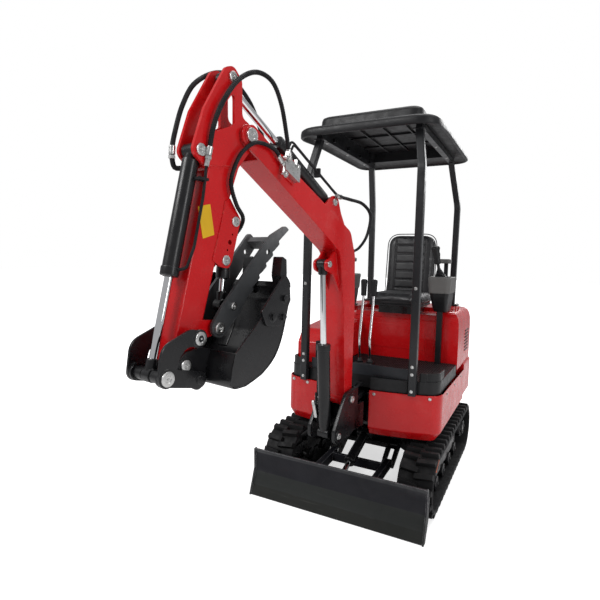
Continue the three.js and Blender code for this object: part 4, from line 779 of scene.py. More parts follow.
def arm():
    """The arm's box with its flanges, ears and bosses."""
    b = Build()
    horn = rounded([
        (885, 1928, 26), (928, 1966, 30), (966, 1950, 30), (1060, 1790, 60), (1112, 1640, 34),
        (1062, 1604, 30), (1030, 1600), (900, 1620), (814, 1722, 40), (840, 1788, 40), (882, 1800, 30),
    ], 10)
    window = rounded([(922, 1883, 12), (975, 1817, 40), (1030, 1714, 14), (920, 1768, 14)], 8)
    pair(b, horn, ARM_HALF - 12, ARM_HALF, 2.2, [window])
    box = rounded([
        (868, 1690), (900, 1760, 30), (1000, 1720), (1040, 1600), (1110, 1294), (1167, 1063),
        (1188, 948, 32), (1150, 912, 36), (1112, 948, 30), (1062, 1075), (950, 1479),
    ], 10)
    b.prism(box, -ARM_HALF + 1, ARM_HALF - 1, boom_plane, 6, 4)
    b.prism(rounded([(1004, 1735, 8), (1040, 1640, 20), (1060, 1604, 8), (1048, 1590), (990, 1720)], 4),
            -ARM_HALF + 8, ARM_HALF - 8, boom_plane, 2)
    cross_bar(b, BOOM_TIP, 42, -BOOM_HALF + 12, BOOM_HALF - 12, 44, 2.5)
    thumb_base = rounded([
        (940, 1510), (884, 1440, 20), (896, 1402, 24), (926, 1290, 24), (944, 1262, 20), (980, 1268, 20),
        (1020, 1290), (960, 1500),
    ], 8)
    spare = [circle((926 + 12 * k, 1384 - 28 * k), r, 16) for k, r in enumerate((4, 9, 4))]
    pair(b, thumb_base, ARM_HALF - 12, ARM_HALF + 1.5, 2, spare)
    pair(b, around((*THUMB_PIN, 26), (1080, 1056, 34)), 20, ARM_HALF)
    for t in (ARM_HALF - 1, -ARM_HALF - 21):
        cross_bar(b, LINK_PIN, 26, t, t + 22, 36)
    for t in (ARM_HALF, -ARM_HALF):
        weld(b, [(1040, 1606), (960, 1618), (902, 1626)], t, 2.6)
        weld(b, [(962, 1498), (985, 1400), (1018, 1296)], t, 2.6)
    b.done("arm_box", "red_paint", "arm", "red_paint", ["arm"])

    plate = Build()
    plate.prism(rounded([(1032, 1480, 3), (1085, 1466, 3), (1064, 1362, 3), (1012, 1378, 3)], 3),
                ARM_HALF - 0.6, ARM_HALF + 0.4, boom_plane, 0.3)
    plate.done("arm_plate", "yellow_plate", "arm")


def pins():
    """Pin ends that show, one piece for each body."""
    def heads(name, body, places):
        b = Build()
        for at, t, radius, height in places:
            for sign in (1, -1):
                b.pin_head(boom_plane(*at, sign * t), LEFT * sign, radius, height)
        b.done(name, "bare_steel", body, "bare_steel")

    heads("boom_pins", "boom", [
        (BOOM_TIP, 62, 27, 9), (ARM_BASE_PIN, BOOM_HALF - 8, 17, 8), (BOOM_ROD_PIN, 38, 16, 7),
    ])
    heads("arm_pins", "arm", [
        (ARM_ROD_PIN, ARM_HALF, 19, 9), (BUCKET_BASE_PIN, ARM_HALF, 21, 7),
        (THUMB_BASE_PIN, ARM_HALF + 1.5, 19, 5), (THUMB_SPARE_PIN, ARM_HALF + 1.5, 19, 5),
    ])
    heads("link_pins", "rocker", [(LINK_PIN, 82, 24, 10), (ROD_PIN, 80, 25, 12)])
    heads("hitch_pins", "bucket", [(BUCKET_PIN, 59, 20, 9)])
    heads("thumb_pins", "thumb", [(THUMB_PIN, 66, 22, 8), (THUMB_ROD_PIN, 65, 14, 8)])
    heads("bracket_pins", "bracket", [(BOOM_FOOT, 81, 19, 8), (BOOM_BASE_PIN, 81, 17, 8)])


# ---------------------------------------------------------------- cylinders

# base pin, rod pin, barrel's length, rod's length, bore's and shaft's radius, half width of the rod's eye
CYLINDERS = {
    "boom": (BOOM_BASE_PIN, BOOM_ROD_PIN, 455, 500, 31, 15, 20),
    "arm": (ARM_BASE_PIN, ARM_ROD_PIN, 425, 410, 31, 15, 20),
    "bucket": (BUCKET_BASE_PIN, ROD_PIN, 425, 450, 28, 14, 20),
    "thumb": (THUMB_BASE_PIN, THUMB_ROD_PIN, 205, 180, 22, 11, 18),
}


def barrel_shapes(b, base, eye, across, length, bore, shaft):
    """An eye, a tube and a gland nut, from base towards eye. across is the pin's way."""
    way = (eye - base).normalized()
    foot = PIN_RADIUS + 12
    b.rod(base - across * (bore * MM), base + across * (bore * MM), foot, 36, 3)
    b.lathe([
        (foot * 0.5, bore - 6), (foot + 6, bore - 1.5), (foot + 10, bore), (length - 30, bore),
        (length - 29, bore + 2.5), (length - 25, bore + 3), (length - 3, bore + 3), (length, bore + 1),
        (length + 2, bore - 6), (length + 3, shaft + 5), (length + 4, shaft + 1.5), (length + 4, 0),
    ], base, way, 44)


def rod_shapes(b, base, eye, across, shaft, wide):
    """The collar and eye at a rod's end."""
    way = (eye - base).normalized()
    b.rod(eye - across * (wide * MM), eye + across * (wide * MM), PIN_RADIUS + 10, 36, 2.5)
    b.lathe([(-52, shaft + 1), (-50, shaft + 5), (-46, shaft + 7), (0, shaft + 7)], eye, way, 32)


def cylinder(name, base, eye, across, length, rod_length, bore, shaft, wide):
    b = Build()
    way = (eye - base).normalized()
    barrel_shapes(b, base, eye, across, length, bore, shaft)
    b.done(f"{name}_tube", "black_paint", f"{name}_cyl_barrel", "black_paint", [f"{name}_cylinder_barrel"])
    b = Build()
    rod_shapes(b, base, eye, across, shaft, wide)
    b.done(f"{name}_rod_eye", "black_paint", f"{name}_cyl_rod", "black_paint")
    b = Build()
    b.lathe([(0, shaft - 2), (2, shaft), (rod_length, shaft)], eye - way * (rod_length * MM), way, 40)
    b.done(f"{name}_rod", "chrome_rod", f"{name}_cyl_rod", "chrome_rod", [f"{name}_cylinder_rod"])


def cylinders():
    """Each cylinder as its barrel and its rod."""
    for name, (base, eye, *sizes) in CYLINDERS.items():
        cylinder(name, boom_plane(*base, 0), boom_plane(*eye, 0), LEFT, *sizes)
    cylinder("blade", profile(-330, 275, 0), profile(-714, 150, 0), Vector((1, 0, 0)), 270, 260, 28, 14, 17)
    lever = Vector(JOINTS["swing_cyl_stroke"]["axis"])
    base = Vector(JOINTS["swing_cyl_tilt"]["pos_m"])
    reach = max((Vector(v.co) - base).dot(lever) for v in frame["nodes"]["swing_cylinder_rod"].data.vertices)
    eye = base + lever * (reach - (PIN_RADIUS + 8) * MM)
    cylinder("swing", base, eye, UP, 235, 225, 26, 13, 18)


# ---------------------------------------------------------------- links, hitch, bucket and thumb

HITCH_FACE = ARM_HALF + 5
BUCKET_LINK_FACE = HITCH_FACE + 15
LINK_FACE = BUCKET_LINK_FACE + 13


def links():
    """The tipping links from the arm and the links from them to the hitch."""
    b = Build()
    (f, z), (rod_f, rod_z) = LINK_PIN, ROD_PIN
    curve = rounded([
        (f - 26, z - 20, 24), (f - 20, z + 26, 28), (f + 40, z + 34, 40), (rod_f + 20, z - 10, 60),
        (rod_f + 34, rod_z - 10, 34), (rod_f - 6, rod_z - 34, 30), (rod_f - 34, rod_z + 6, 30),
        (rod_f - 50, rod_z + 60, 40), (f + 50, z - 20, 40), (f + 10, z - 28, 24),
    ], 10)
    pair(b, curve, LINK_FACE, LINK_FACE + 10)
    for at, radius in ((LINK_PIN, 30), (ROD_PIN, 31)):
        for t in (LINK_FACE - 1, -LINK_FACE - 12):
            cross_bar(b, at, radius, t, t + 13, 36)
    cross_bar(b, LINK_PIN, PIN_RADIUS, -LINK_FACE - 16, LINK_FACE + 16)
    b.done("tipping_plates", "black_paint", "rocker", "black_paint", ["tipping_links"])

    b = Build()
    pair(b, around((*ROD_PIN, 30), (*HITCH_PIN, 28)), BUCKET_LINK_FACE, BUCKET_LINK_FACE + 10)
    cross_bar(b, HITCH_PIN, PIN_RADIUS, -BUCKET_LINK_FACE - 14, BUCKET_LINK_FACE + 14)
    cross_bar(b, ROD_PIN, 22, -BUCKET_LINK_FACE, -24)
    cross_bar(b, ROD_PIN, 22, 24, BUCKET_LINK_FACE)
    b.done("link_plates", "black_paint", "link", "black_paint", ["bucket_link"])


HITCH_BLOCK = [
    (1085, 975), (1090, 930, 12), (1128, 880), (1108, 862, 12), (1066, 868), (1056, 940), (1040, 988),
]
BUCKET_HALF, BUCKET_WALL = 180, 8
TOOTH_HALF, SOCKET_HALF, STRAP_HALF = 22, 26, 24


def hitch():
    b = Build()
    ear = rounded([
        (1188, 948, 40), (1150, 990, 40), (1086, 1000, 20), (1040, 988), (1056, 940), (1066, 868),
        (1096, 852, 30), (1140, 880, 40),
    ], 10)
    pair(b, ear, HITCH_FACE, HITCH_FACE + 12)
    b.prism(rounded(HITCH_BLOCK, 6), -HITCH_FACE - 1, HITCH_FACE + 1, boom_plane, 2)
    for t in (HITCH_FACE + 11, -HITCH_FACE - 14):
        cross_bar(b, BUCKET_PIN, 30, t, t + 3, 36)
    b.done("hitch_body", "black_paint", "bucket", "black_paint", ["quick_hitch"])


def bucket():
    """The bucket's shell with its ears, teeth and straps, and the cutters on its sides."""
    half, gap = BUCKET_HALF, 0.3
    back = [(f - gap, z) for f, z, *_ in reversed(HITCH_BLOCK[4:])]
    walls = [
        back[0], back[1], (*back[2], 30), (990, 868, 60), (906, 895, 70), (836, 946, 80), (796, 1020, 80),
        (762, 1140, 60), (768, 1206),
    ]
    inside = [
        (780, 1204), (771, 1142, 50), (804, 1024, 72), (842, 952, 72), (911, 903, 62), (990, 877, 50),
        (1055, 880, 20), (1047, 938), (1030, 985),
    ]
    b = Build()
    b.prism(rounded(walls + inside, 10), -half + 0.5, half - 0.5, boom_plane, 1.5)
    side = rounded(walls + [(790, 1226, 14), (906, 1102, 30)], 10)
    pair(b, side, half - BUCKET_WALL, half, 2)
    lip = rounded([(756, 1196, 2), (758, 1216, 3), (776, 1216, 3), (782, 1196, 2)], 3)
    b.prism(lip, -half, half, boom_plane, 1.5)
    tooth = rounded([
        (760, 1186), (764, 1206, 4), (770, 1300, 6), (796, 1312, 6), (806, 1240, 20), (788, 1184),
    ], 4)
    for t in (-148, 0, 148):
        b.prism(tooth, t - TOOTH_HALF, t + TOOTH_HALF, boom_plane, 4, 3)
        b.box((764, 1168, t - SOCKET_HALF), (790, 1200, t + SOCKET_HALF), boom_plane, 3)
    strap = rounded([
        (836, 946, 40), (800, 1012, 60), (776, 1090), (786, 1092), (810, 1020, 60), (846, 956, 40),
    ], 6)
    for t in (-90, 90):
        b.prism(strap, t - STRAP_HALF, t + STRAP_HALF, boom_plane, 2)
    seam = [(1050, 876), (990, 874), (906, 902), (842, 950), (802, 1020), (768, 1140)]
    for t in (half + 0.4, -half - 0.4):
        weld(b, seam, t, 2.4)
    b.done("bucket_body", "black_paint", "bucket", "black_paint", ["bucket"])

    b = Build()
    cutter = rounded([
        (766, 1150), (774, 1222, 10), (800, 1248, 12), (928, 1118, 14), (900, 1066, 20), (820, 1058, 20),
    ], 8)
    pair(b, cutter, half, half + 10, 2.5)
    for at in ((812, 1092), (868, 1096), (806, 1160)):
        for sign in (1, -1):
            b.bolt(boom_plane(*at, sign * (half + 10)), LEFT * sign, 13, 11)
    b.done("side_cutters", "black_paint", "bucket", "black_paint")


THUMB_INNER, THUMB_OUTER = 53, 65


def thumb():
    """A toothed hook on the left, a shorter plate on the right and a brace between them."""
    b = Build()
    base = Vector(THUMB_PIN)
    way = (Vector(THUMB_ROD_PIN) - base).normalized()

    def at(along, off, radius=0):
        p = base + way * along + Vector((-way.y, way.x)) * off
        return (p.x, p.y, radius)

    saw = []
    for i in range(5):
        s = 170 + 58 * i
        saw += [at(s, 34 - 2 * i, 4), at(s + 40, 40 - 2 * i, 6), at(s + 46, 28 - 2 * i, 4)]
    heel = [at(-34, 0, 30), at(-20, 32, 30), at(100, 44, 40)]
    tip = [at(528, 34, 6), at(520, 6, 20), at(430, -30, 60)]
    blunt = [at(445, 30, 20), at(445, -34, 20)]
    spine = [at(250, -36, 80), at(60, -40, 40), at(-20, -32, 30)]
    hole = circle(at(372, 4)[:2], 11, 18)
    b.prism(rounded(heel + saw + tip + spine, 6), THUMB_INNER, THUMB_OUTER, boom_plane, 2.2, holes=[hole])
    b.prism(rounded(heel + blunt + spine, 6), -THUMB_OUTER, -THUMB_INNER, boom_plane, 2.2, holes=[hole])
    brace = rounded([at(405, 22), at(405, -22), at(430, -22), at(430, 22)])
    b.prism(brace, -THUMB_INNER - 1, THUMB_INNER + 1, boom_plane, 2)
    cross_bar(b, THUMB_PIN, PIN_RADIUS, -THUMB_OUTER - 2, THUMB_OUTER + 2)
    b.done("thumb_plates", "thumb_paint", "thumb", "grey_paint", ["thumb"])


BRACKET_HEIGHTS = 429.3, 558.7
SWING_HEIGHT = 494


def bracket():
    """The swing bracket: two ears on an upright, with the swing cylinder's lugs."""
    b = Build()
    inner, outer, low, high = BOOM_HALF + 5, BOOM_HALF + 23, *BRACKET_HEIGHTS
    ear = rounded([
        (-34, low), (60, low, 20), (150, 396, 30), (250, 404, 34), (252, 470, 34), (150, 640, 50),
        (32, 656, 10), (32, high), (-34, high),
    ], 10)
    pair(b, ear, inner, outer, 2.5)
    foot = Vector((SWING.x, SWING.y, low * MM))
    b.lathe([(0, 42), (4, 46), (125.4, 46), (129.4, 42)], foot, UP, 40)
    b.box((0, low, -outer + 30), (64, high, outer), boom_plane, 3)
    b.box((0, low, -outer), (22, low + 40, outer), boom_plane, 3)
    b.box((0, high - 40, -outer), (22, high, outer), boom_plane, 3)
    b.box((32, 634, -inner - 1), (46, 654, inner + 1), boom_plane, 2)
    angle = math.radians(-185)
    eye = Vector((math.cos(angle), math.sin(angle))) * 100
    lug_gap, lug_plate = 23, 16
    for z0 in (SWING_HEIGHT - lug_gap - lug_plate, SWING_HEIGHT + lug_gap):
        b.prism(around((eye.x, eye.y, 24), (-20, -6, 40)), z0, z0 + lug_plate, swing_plan, 2)
    foot = Vector((SWING.x, SWING.y, (SWING_HEIGHT - 100) * MM))
    b.lathe([(0, 19), (2, 21), (197, 21), (199, 19)], foot, UP, 32)
    for at, radius in ((BOOM_FOOT, 30), (BOOM_BASE_PIN, 28)):
        for t in (outer - 1, -outer - 3):
            cross_bar(b, at, radius, t, t + 4, 32, 1)
    b.done("bracket_casting", "black_paint", "bracket", "black_paint", ["swing_bracket"])


def swing_plan(x, y, z):
    """A plan point about the swing pin, turned with the boom: -y is forward."""
    return boom_plane(-y, z, x)


# ---------------------------------------------------------------- hoses and pipes
# Each route is the centre line of the CAD piece, as [F, z, t].

HOSES = {
    "hose_arm_left": (9, [
        (1050, 1636, 51.7), (1036, 1733, 60), (999, 1820, 64), (929, 1913, 66), (841, 1967, 68),
        (756, 1962, 70), (702, 1896, 72), (668, 1791, 74), (647, 1703.2, 75),
    ]),
    "hose_arm_right": (9, [
        (1086, 1597, -29), (1087, 1597, -42), (1104, 1602, -58), (1109, 1657, -62), (1091, 1738, -62),
        (1064, 1816, -62), (1017, 1895, -64), (938, 1957, -66), (860, 1984, -68), (793, 1965, -70),
        (706, 1900, -70), (629, 1770, -70), (590, 1668, -68),
    ]),
    "hose_thumb": (8, [
        (693, 1676, 74), (739, 1716, 74), (837, 1721, 72), (904, 1673, 64), (941, 1606, 60),
        (950, 1552, 58), (922, 1488, 58), (880, 1452, 48), (856, 1424, 20), (866, 1394, 3),
        (880, 1391, 0), (891.5, 1391, 0),
    ]),
    "hose_knee": (9, [
        (262, 1600, 66), (147, 1600, 62), (6, 1594, 56), (-90, 1545, 50), (-70, 1440, 44), (0, 1372, 38),
        (77.4, 1346.2, 34),
    ]),
    "hose_boom_cylinder": (9, [
        (232, 640, -44), (226, 560, -46), (214, 500, -47), (180, 476, -46), (130, 470, -44), (64.3, 470, -42),
    ]),
}
SWING_HOSES = [(-128, 628), (-110, 626), (-76, 616), (-30, 610), (2, 626), (26, 661.3)]
BOOM_HOSES = [(30, 674), (34, 710), (22, 760), (12, 810), (20, 866), (52.2, 907)]
BENDS = {
    "hose_arm_left": ("boom", "arm", (700, 1800, 0), (1010, 1800, 0)),
    "hose_arm_right": ("boom", "arm", (700, 1800, 0), (1040, 1800, 0)),
    "hose_thumb": ("boom", "arm", (760, 1700, 0), (930, 1600, 0)),
    "hose_boom_cylinder": ("bracket", "boom_cyl_barrel", (180, 476, 0), (226, 600, 0)),
    "hose_swing_bundle": ("house", "bracket", (-100, 620, 0), (10, 640, 0)),
    "hose_boom_bundle": ("bracket", "boom", (30, 690, 0), (30, 890, 0)),
}


def sleeve(radius, pitch=8.5, depth=1.0):
    """The radius of a hose in a spiral guard."""
    return lambda s, angle: radius - depth / 2 + depth / 2 * math.sin(2 * math.pi * s / pitch - angle)


def collar(b, end, back, radius, sides=28):
    """A crimped hose end with its nut. back points from the end into the hose."""
    b.lathe([
        (-2, radius * 0.72), (0, radius + 1.2), (4, radius + 2.4), (9, radius + 1.2), (14, radius + 2.4),
        (19, radius + 1.2), (24, radius + 2.4), (29, radius + 1.4), (31, radius * 0.9),
    ], end, back, sides)
    b.lathe([(-14, radius + 1), (-13, radius + 2.6), (-3, radius + 2.6), (-2, radius + 1)], end, back, 6)


def pipe(b, corners, turn, radius, sides=12):
    """A pipe bent through [F, z, t] corners."""
    b.tube(bent([boom_plane(*p) for p in corners], turn * MM), radius, sides)


def hose_body(node):
    if node not in BENDS:
        return "boom"
    a, b, start, end = BENDS[node]
    return a, b, boom_plane(*start), boom_plane(*end)


def hoses():
    for node, (radius, route) in HOSES.items():
        line = [boom_plane(*p) for p in route]
        length = sum((q - p).length for p, q in zip(line, line[1:])) / MM
        b = Build()
        ribbed = node in ("hose_arm_left", "hose_thumb")
        steps = int(length / (1.5 if ribbed else 7))
        if node == "hose_knee":
            for side in (-1, 1):
                apart = [
                    boom_plane(f - 9 * side * min(i, 2) / 2, z, t - 7 * side)
                    for i, (f, z, t) in enumerate(route)
                ]
                b.tube(spline(apart, steps), 6.2, 14)
        else:
            b.tube(spline(line, steps), sleeve(radius) if ribbed else radius - 0.4, 14)
        b.done(node + "_rubber", "black_hose", hose_body(node), "black_hose", [node])
    for node, route, tie in (("hose_swing_bundle", SWING_HOSES, 1), ("hose_boom_bundle", BOOM_HOSES, 2)):
        b = Build()
        for t in (-12, 12):
            line = [boom_plane(f, z, t) for f, z in route]
            b.tube(spline(line, 40), 7.8, 14)
        f, z = route[tie]
        b.box((f - 6, z - 12, -24), (f + 6, z + 12, 24), boom_plane, 2)
        b.done(node + "_rubber", "black_hose", hose_body(node), "black_hose", [node])


def fitting(b, at, towards, radius):
    """A crimped end between two [F, z, t] points."""
    start = boom_plane(*at)
    collar(b, start, (boom_plane(*towards) - start).normalized(), radius)


def hose_end(b, node, first):
    radius, route = HOSES[node]
    at, towards = (route[0], route[1]) if first else (route[-1], route[-2])
    fitting(b, at, towards, radius)


def arm_fittings():
    """Crimped hose ends on the arm, with the elbow and the union that two of them meet."""
    b = Build()
    hose_end(b, "hose_arm_left", True)
    hose_end(b, "hose_thumb", False)
    pipe(b, [(1086, 1596, -30), (1086, 1597, -58), (1106, 1604, -62), (1109, 1640, -62)], 14, 7.5, 14)
    fitting(b, (1109, 1640, -62), (1108, 1660, -62), 9)
    b.rod(boom_plane(1056, 1600, 48), boom_plane(1050, 1636, 51.7), 9, 6)
    b.done("arm_fittings", "bare_steel", "arm", "bare_steel")


def boom_fittings():
    """Crimped hose ends on the boom, with the valve's plugs."""
    b = Build()
    for node, first in (
        ("hose_arm_left", False), ("hose_arm_right", False), ("hose_thumb", True),
        ("hose_knee", True), ("hose_knee", False),
    ):
        hose_end(b, node, first)
    for f, z, t in ((612, 1690, 76), (668, 1712, 76), (690, 1650, 76)):
        b.bolt(boom_plane(f, z - 20, 92), LEFT, 9, 9)
        b.rod(boom_plane(f, z - 20, 76), boom_plane(f - 8, z + 12, 76), 8, 6)
    b.done("boom_fittings", "bare_steel", "boom", "bare_steel")


def valve():
    """The valve's block on the boom's left side, with its cap."""
    b = Build()
    block = rounded([(592, 1608, 8), (592, 1666, 8), (680, 1708, 8), (688, 1652, 8)], 4)
    cap = rounded([(600, 1626, 6), (600, 1660, 6), (640, 1678, 6), (644, 1640, 6)], 4)
    b.prism(block, BOOM_HALF + 0.3, 90, boom_plane, 3)
    b.prism(cap, BOOM_HALF + 2, 92, boom_plane, 3)
    b.done("valve_casting", "bare_steel", "boom", "bare_steel", ["valve_block"])


def cylinder_pipes():
    """Pipes along the bucket's, arm's and boom's cylinders, and the boom cylinder's fittings."""
    b = Build()
    pipe(b, [
        (1056, 1600, 48), (1062, 1560, 50), (1073, 1491, 51), (1108, 1334, 51), (1140, 1262, 51),
        (1158, 1258, 30),
    ], 24, 5)
    b.box((1050, 1552, 24), (1092, 1562, 56), boom_plane, 2)
    b.done("bucket_pipe", "black_hose", "bucket_cyl_barrel", "black_hose")

    b = Build()
    for t, drop in ((20, 0), (32, 16)):
        line = [(590, 1752), (566, 1790), (547, 1786), (228, 1632)]
        pipe(b, [(f, z - drop, t) for f, z in line] + [(258, 1604, 64)], 20, 5)
    b.box((372, 1672, 12), (386, 1712, 40), boom_plane, 2)
    b.done("arm_pipes", "black_hose", "arm_cyl_barrel", "black_hose")

    b = Build()
    pipe(b, [(252, 850, -28), (228, 850, -45), (226, 760, -45), (224, 640, -44)], 14, 5.5)
    b.done("boom_pipe", "black_hose", "boom_cyl_barrel", "black_hose")

    b = Build()
    fitting(b, (226, 612, -45), (224, 560, -46), 9)
    b.rod(boom_plane(246, 520, -34), boom_plane(254, 584, -44), 9, 20)
    b.rod(boom_plane(254, 584, -44), boom_plane(256, 606, -46), 11, 6)
    b.done("boom_cylinder_fittings", "bare_steel", "boom_cyl_barrel", "bare_steel")


# ---------------------------------------------------------------- tracks

TRACK_X, TRACK_HALF, TRACK_RADIUS = 390, 90, 165
TRACK_FRONT, TRACK_REAR = -555, 425
BELT_RADIUS, BELT_THICK = 143, 20
LUGS = 40
ROLLERS, ROLLER_PITCH, ROLLER_HEIGHT = 4, 190, 80.3


def loop_point(s, radius):
    """A point [y, z] of the track's loop and its outward way, s along the belt's outside."""
    straight, turn = TRACK_REAR - TRACK_FRONT, math.pi * BELT_RADIUS
    s %= 2 * (straight + turn)
    if s <= straight:
        return (TRACK_FRONT + s, TRACK_RADIUS - radius)
    if s <= straight + turn:
        angle = (s - straight) / BELT_RADIUS - math.pi / 2
        return (TRACK_REAR + radius * math.cos(angle), TRACK_RADIUS + radius * math.sin(angle))
    s -= straight + turn
    if s <= straight:
        return (TRACK_REAR - s, TRACK_RADIUS + radius)
    angle = (s - straight) / BELT_RADIUS + math.pi / 2
    return (TRACK_FRONT + radius * math.cos(angle), TRACK_RADIUS + radius * math.sin(angle))


def lug(b, x0, x1, s0, s1, skew):
    """A tapered tread block across part of the belt, with its outer end set back by skew."""
    bm = bmesh.new()
    rings = []
    for radius, draft in ((BELT_RADIUS - 3, 0), (TRACK_RADIUS, 5)):
        ring = []
        for x, s in ((x0 + draft, s0 + draft), (x1 - draft, s0 + draft + skew),
                     (x1 - draft, s1 - draft + skew), (x0 + draft, s1 - draft)):
            y, z = loop_point(s, radius)
            ring.append(bm.verts.new(house(x, y, z)))
        rings.append(ring)
    skin(bm, rings)
    b.add(bm, 3.0, 2)


def track(sign):
    """A track's belt with its lugs."""
    side = "left" if sign > 0 else "right"
    b = Build()
    length = 2 * (TRACK_REAR - TRACK_FRONT) + 2 * math.pi * BELT_RADIUS
    inner = BELT_RADIUS - BELT_THICK
    edge, outer = TRACK_HALF, BELT_RADIUS
    section = [
        (-edge, inner + 6), (-edge + 6, inner), (-34, inner), (-30, inner + 3), (30, inner + 3), (34, inner),
        (edge - 6, inner), (edge, inner + 6), (edge, outer - 5), (edge - 4, outer), (60, outer - 2),
        (0, outer - 4), (-60, outer - 2), (-edge + 4, outer), (-edge, outer - 5),
    ]
    bm = bmesh.new()
    steps = 240
    rings = []
    for i in range(steps):
        ring = []
        for x, radius in section:
            y, z = loop_point(length * i / steps, radius)
            ring.append(bm.verts.new(house(sign * TRACK_X + x, y, z)))
        rings.append(ring)
    skin(bm, rings, loop=True)
    b.add(bm)
    pitch = length / LUGS
    middle = sign * TRACK_X
    for i in range(LUGS):
        s = i * pitch
        lug(b, middle - 89, middle + 12, s, s + 0.46 * pitch, 9)
        lug(b, middle - 12, middle + 89, s + 0.5 * pitch, s + 0.96 * pitch, -9)
        for x in (-88, 88):
            y0, z0 = loop_point(s + 0.2 * pitch, BELT_RADIUS - 10)
            b.lathe([(-2, 5), (1.2, 4)], house(middle + x, y0, z0), Vector((math.copysign(1, x), 0, 0)), 8)
    b.done(f"rubber_track_{side}", "track_rubber", "undercarriage", "track_rubber", [f"track_{side}"], 40)


def wheel_trim():
    """Hub covers and bolts of the idlers, rollers and final drives, and the marks on the belts."""
    b = Build()
    for sign in (1, -1):
        out = Vector((sign, 0, 0))
        for count, ring, stand, radius, height in ((8, 56, 52, 6, 6), (3, 30, 66, 7, 5)):
            for y, z in circle((TRACK_REAR, TRACK_RADIUS), ring, count):
                b.bolt(house(sign * (TRACK_X + stand), y, z), out, radius, height)
        b.bolt(house(sign * (TRACK_X + 37), TRACK_FRONT, TRACK_RADIUS), out, 13, 8)
        first = (TRACK_FRONT + TRACK_REAR - (ROLLERS - 1) * ROLLER_PITCH) / 2
        for i in range(ROLLERS):
            b.bolt(house(sign * (TRACK_X + 46), first + i * ROLLER_PITCH, ROLLER_HEIGHT), out, 11, 7)
    b.done("wheel_bolts", "post_paint", "undercarriage", "bare_steel")

    b = Build()
    b.lathe([(-1, 5), (1, 5)], house(TRACK_X + 89, TRACK_FRONT - 60, 262), Vector((1, 0, 0)), 12)
    arrow = [(-632, 262), (-560, 300), (-566, 306), (-640, 270)]
    b.prism(arrow, TRACK_X + 88.5, TRACK_X + 90.4, profile, 0.4)
    b.done("track_mark", "orange_mark", "undercarriage")


# ---------------------------------------------------------------- house

HOUSE_HALF, HOUSE_FRONT, HOUSE_CORNER, TAIL_RADIUS = 458, 560, 479, 760
SKIRT_BOTTOM, SKIRT_TOP, SKIRT_REAR = 357, 605, 300
FLOOR_TOP, FLOOR_REAR = 675, 60
NOTCH = 92
HOOD_TOP = 1000
KICK_Y = -493
POST_X, POST_Y, POST_BEND_Z, POST_TOP_X, POST_TOP_Y = 318, -530, 1790, 283, -470
REAR_X, REAR_Y, REAR_BEND_X, REAR_BEND_Z, REAR_TOP_X, REAR_TOP_Y = 312, 575, 318, 1710, 286, 430


def front_y(x):
    """The platform's front edge, furthest ahead in the middle."""
    return -HOUSE_FRONT + (HOUSE_FRONT - HOUSE_CORNER) * x * x / HOUSE_HALF ** 2


def front_line(from_x, to_y, inset, radius, steps=12):
    """Along the front from from_x, round the corner, and back along the side to to_y."""
    edge = HOUSE_HALF - inset
    y = front_y(edge) + inset
    along = [from_x + (edge - from_x) * i / steps for i in range(steps)]
    front = [(x, front_y(x) + inset) for x in along if x < edge - radius]
    lift = front[-1][1] - y if front else 0
    corner = []
    for k in range(11):
        angle = math.pi / 2 * k / 10
        x, back = edge - radius * (1 - math.sin(angle)), radius * (1 - math.cos(angle))
        corner.append((x, y + back + lift * (1 - k / 10) * 0.6))
    return front + corner + [(edge, to_y)]


def tail_line(from_y, inset, steps=28):
    """From the left side round the tail's arc to the right side."""
    edge, radius = HOUSE_HALF - inset, TAIL_RADIUS - inset
    reach = math.acos(edge / radius)
    turns = [reach + (math.pi - 2 * reach) * i / steps for i in range(steps + 1)]
    arc = [(radius * math.cos(turn), radius * math.sin(turn)) for turn in turns]
    corners = [(edge, from_y), (*arc[0], 90), *arc[4:-4], (*arc[-1], 90), (-edge, from_y)]
    return rounded(corners, 10)


def mirror(points):
    """The same points on the other side, in the reverse order."""
    return [(-x, *rest) for x, *rest in points][::-1]


def loft(b, rings):
    """A solid through rings of placed points, as many in each."""
    bm = bmesh.new()
    skin(bm, [[bm.verts.new(p) for p in ring] for ring in rings])
    b.add(bm)


def skirts():
    """A skirt on each side, and the counterweight's casting behind them."""
    low = SKIRT_BOTTOM
    section = [(34, low), (30, low), (4, low + 37), (0, low + 47), (0, 600), (1.5, SKIRT_TOP),
               (7, SKIRT_TOP), (8, 600), (8, low + 49), (12, low + 41), (36, low + 6)]
    for sign, side, start in ((1, "left", 92), (-1, "right", 150)):
        b = Build()
        levels = []
        for inset, z in section:
            line = front_line(start, SKIRT_REAR - 0.3, inset, max(20, 62 - inset))
            levels.append([house(sign * x, y, z) for x, y in line])
        loft(b, [list(ring) for ring in zip(*levels)])
        b.done(f"skirt_shell_{side}", "red_paint", "house", "red_paint", [f"skirt_{side}"], 40)

    b = Build()
    outer = [(30, 400.4), (0, 428), (0, 628), (4, 637), (14, 640)]
    inner = [(96, 640), (108, 636), (110, 628), (110, 400.4)]
    rings = [[house(x, y, z) for x, y in tail_line(SKIRT_REAR, inset)] for inset, z in outer + inner]
    loft(b, [list(ring) for ring in zip(*rings)])
    for x in (-250, 250):
        y = math.sqrt(TAIL_RADIUS ** 2 - x * x)
        b.box((x - 30, y - 16, 640), (x + 30, y - 60, 641.5), house, 0.5)
    b.done("counterweight_casting", "red_paint", "house", "red_paint", ["counterweight"], 40)


SEAT_BOX_X = (-232, 302)


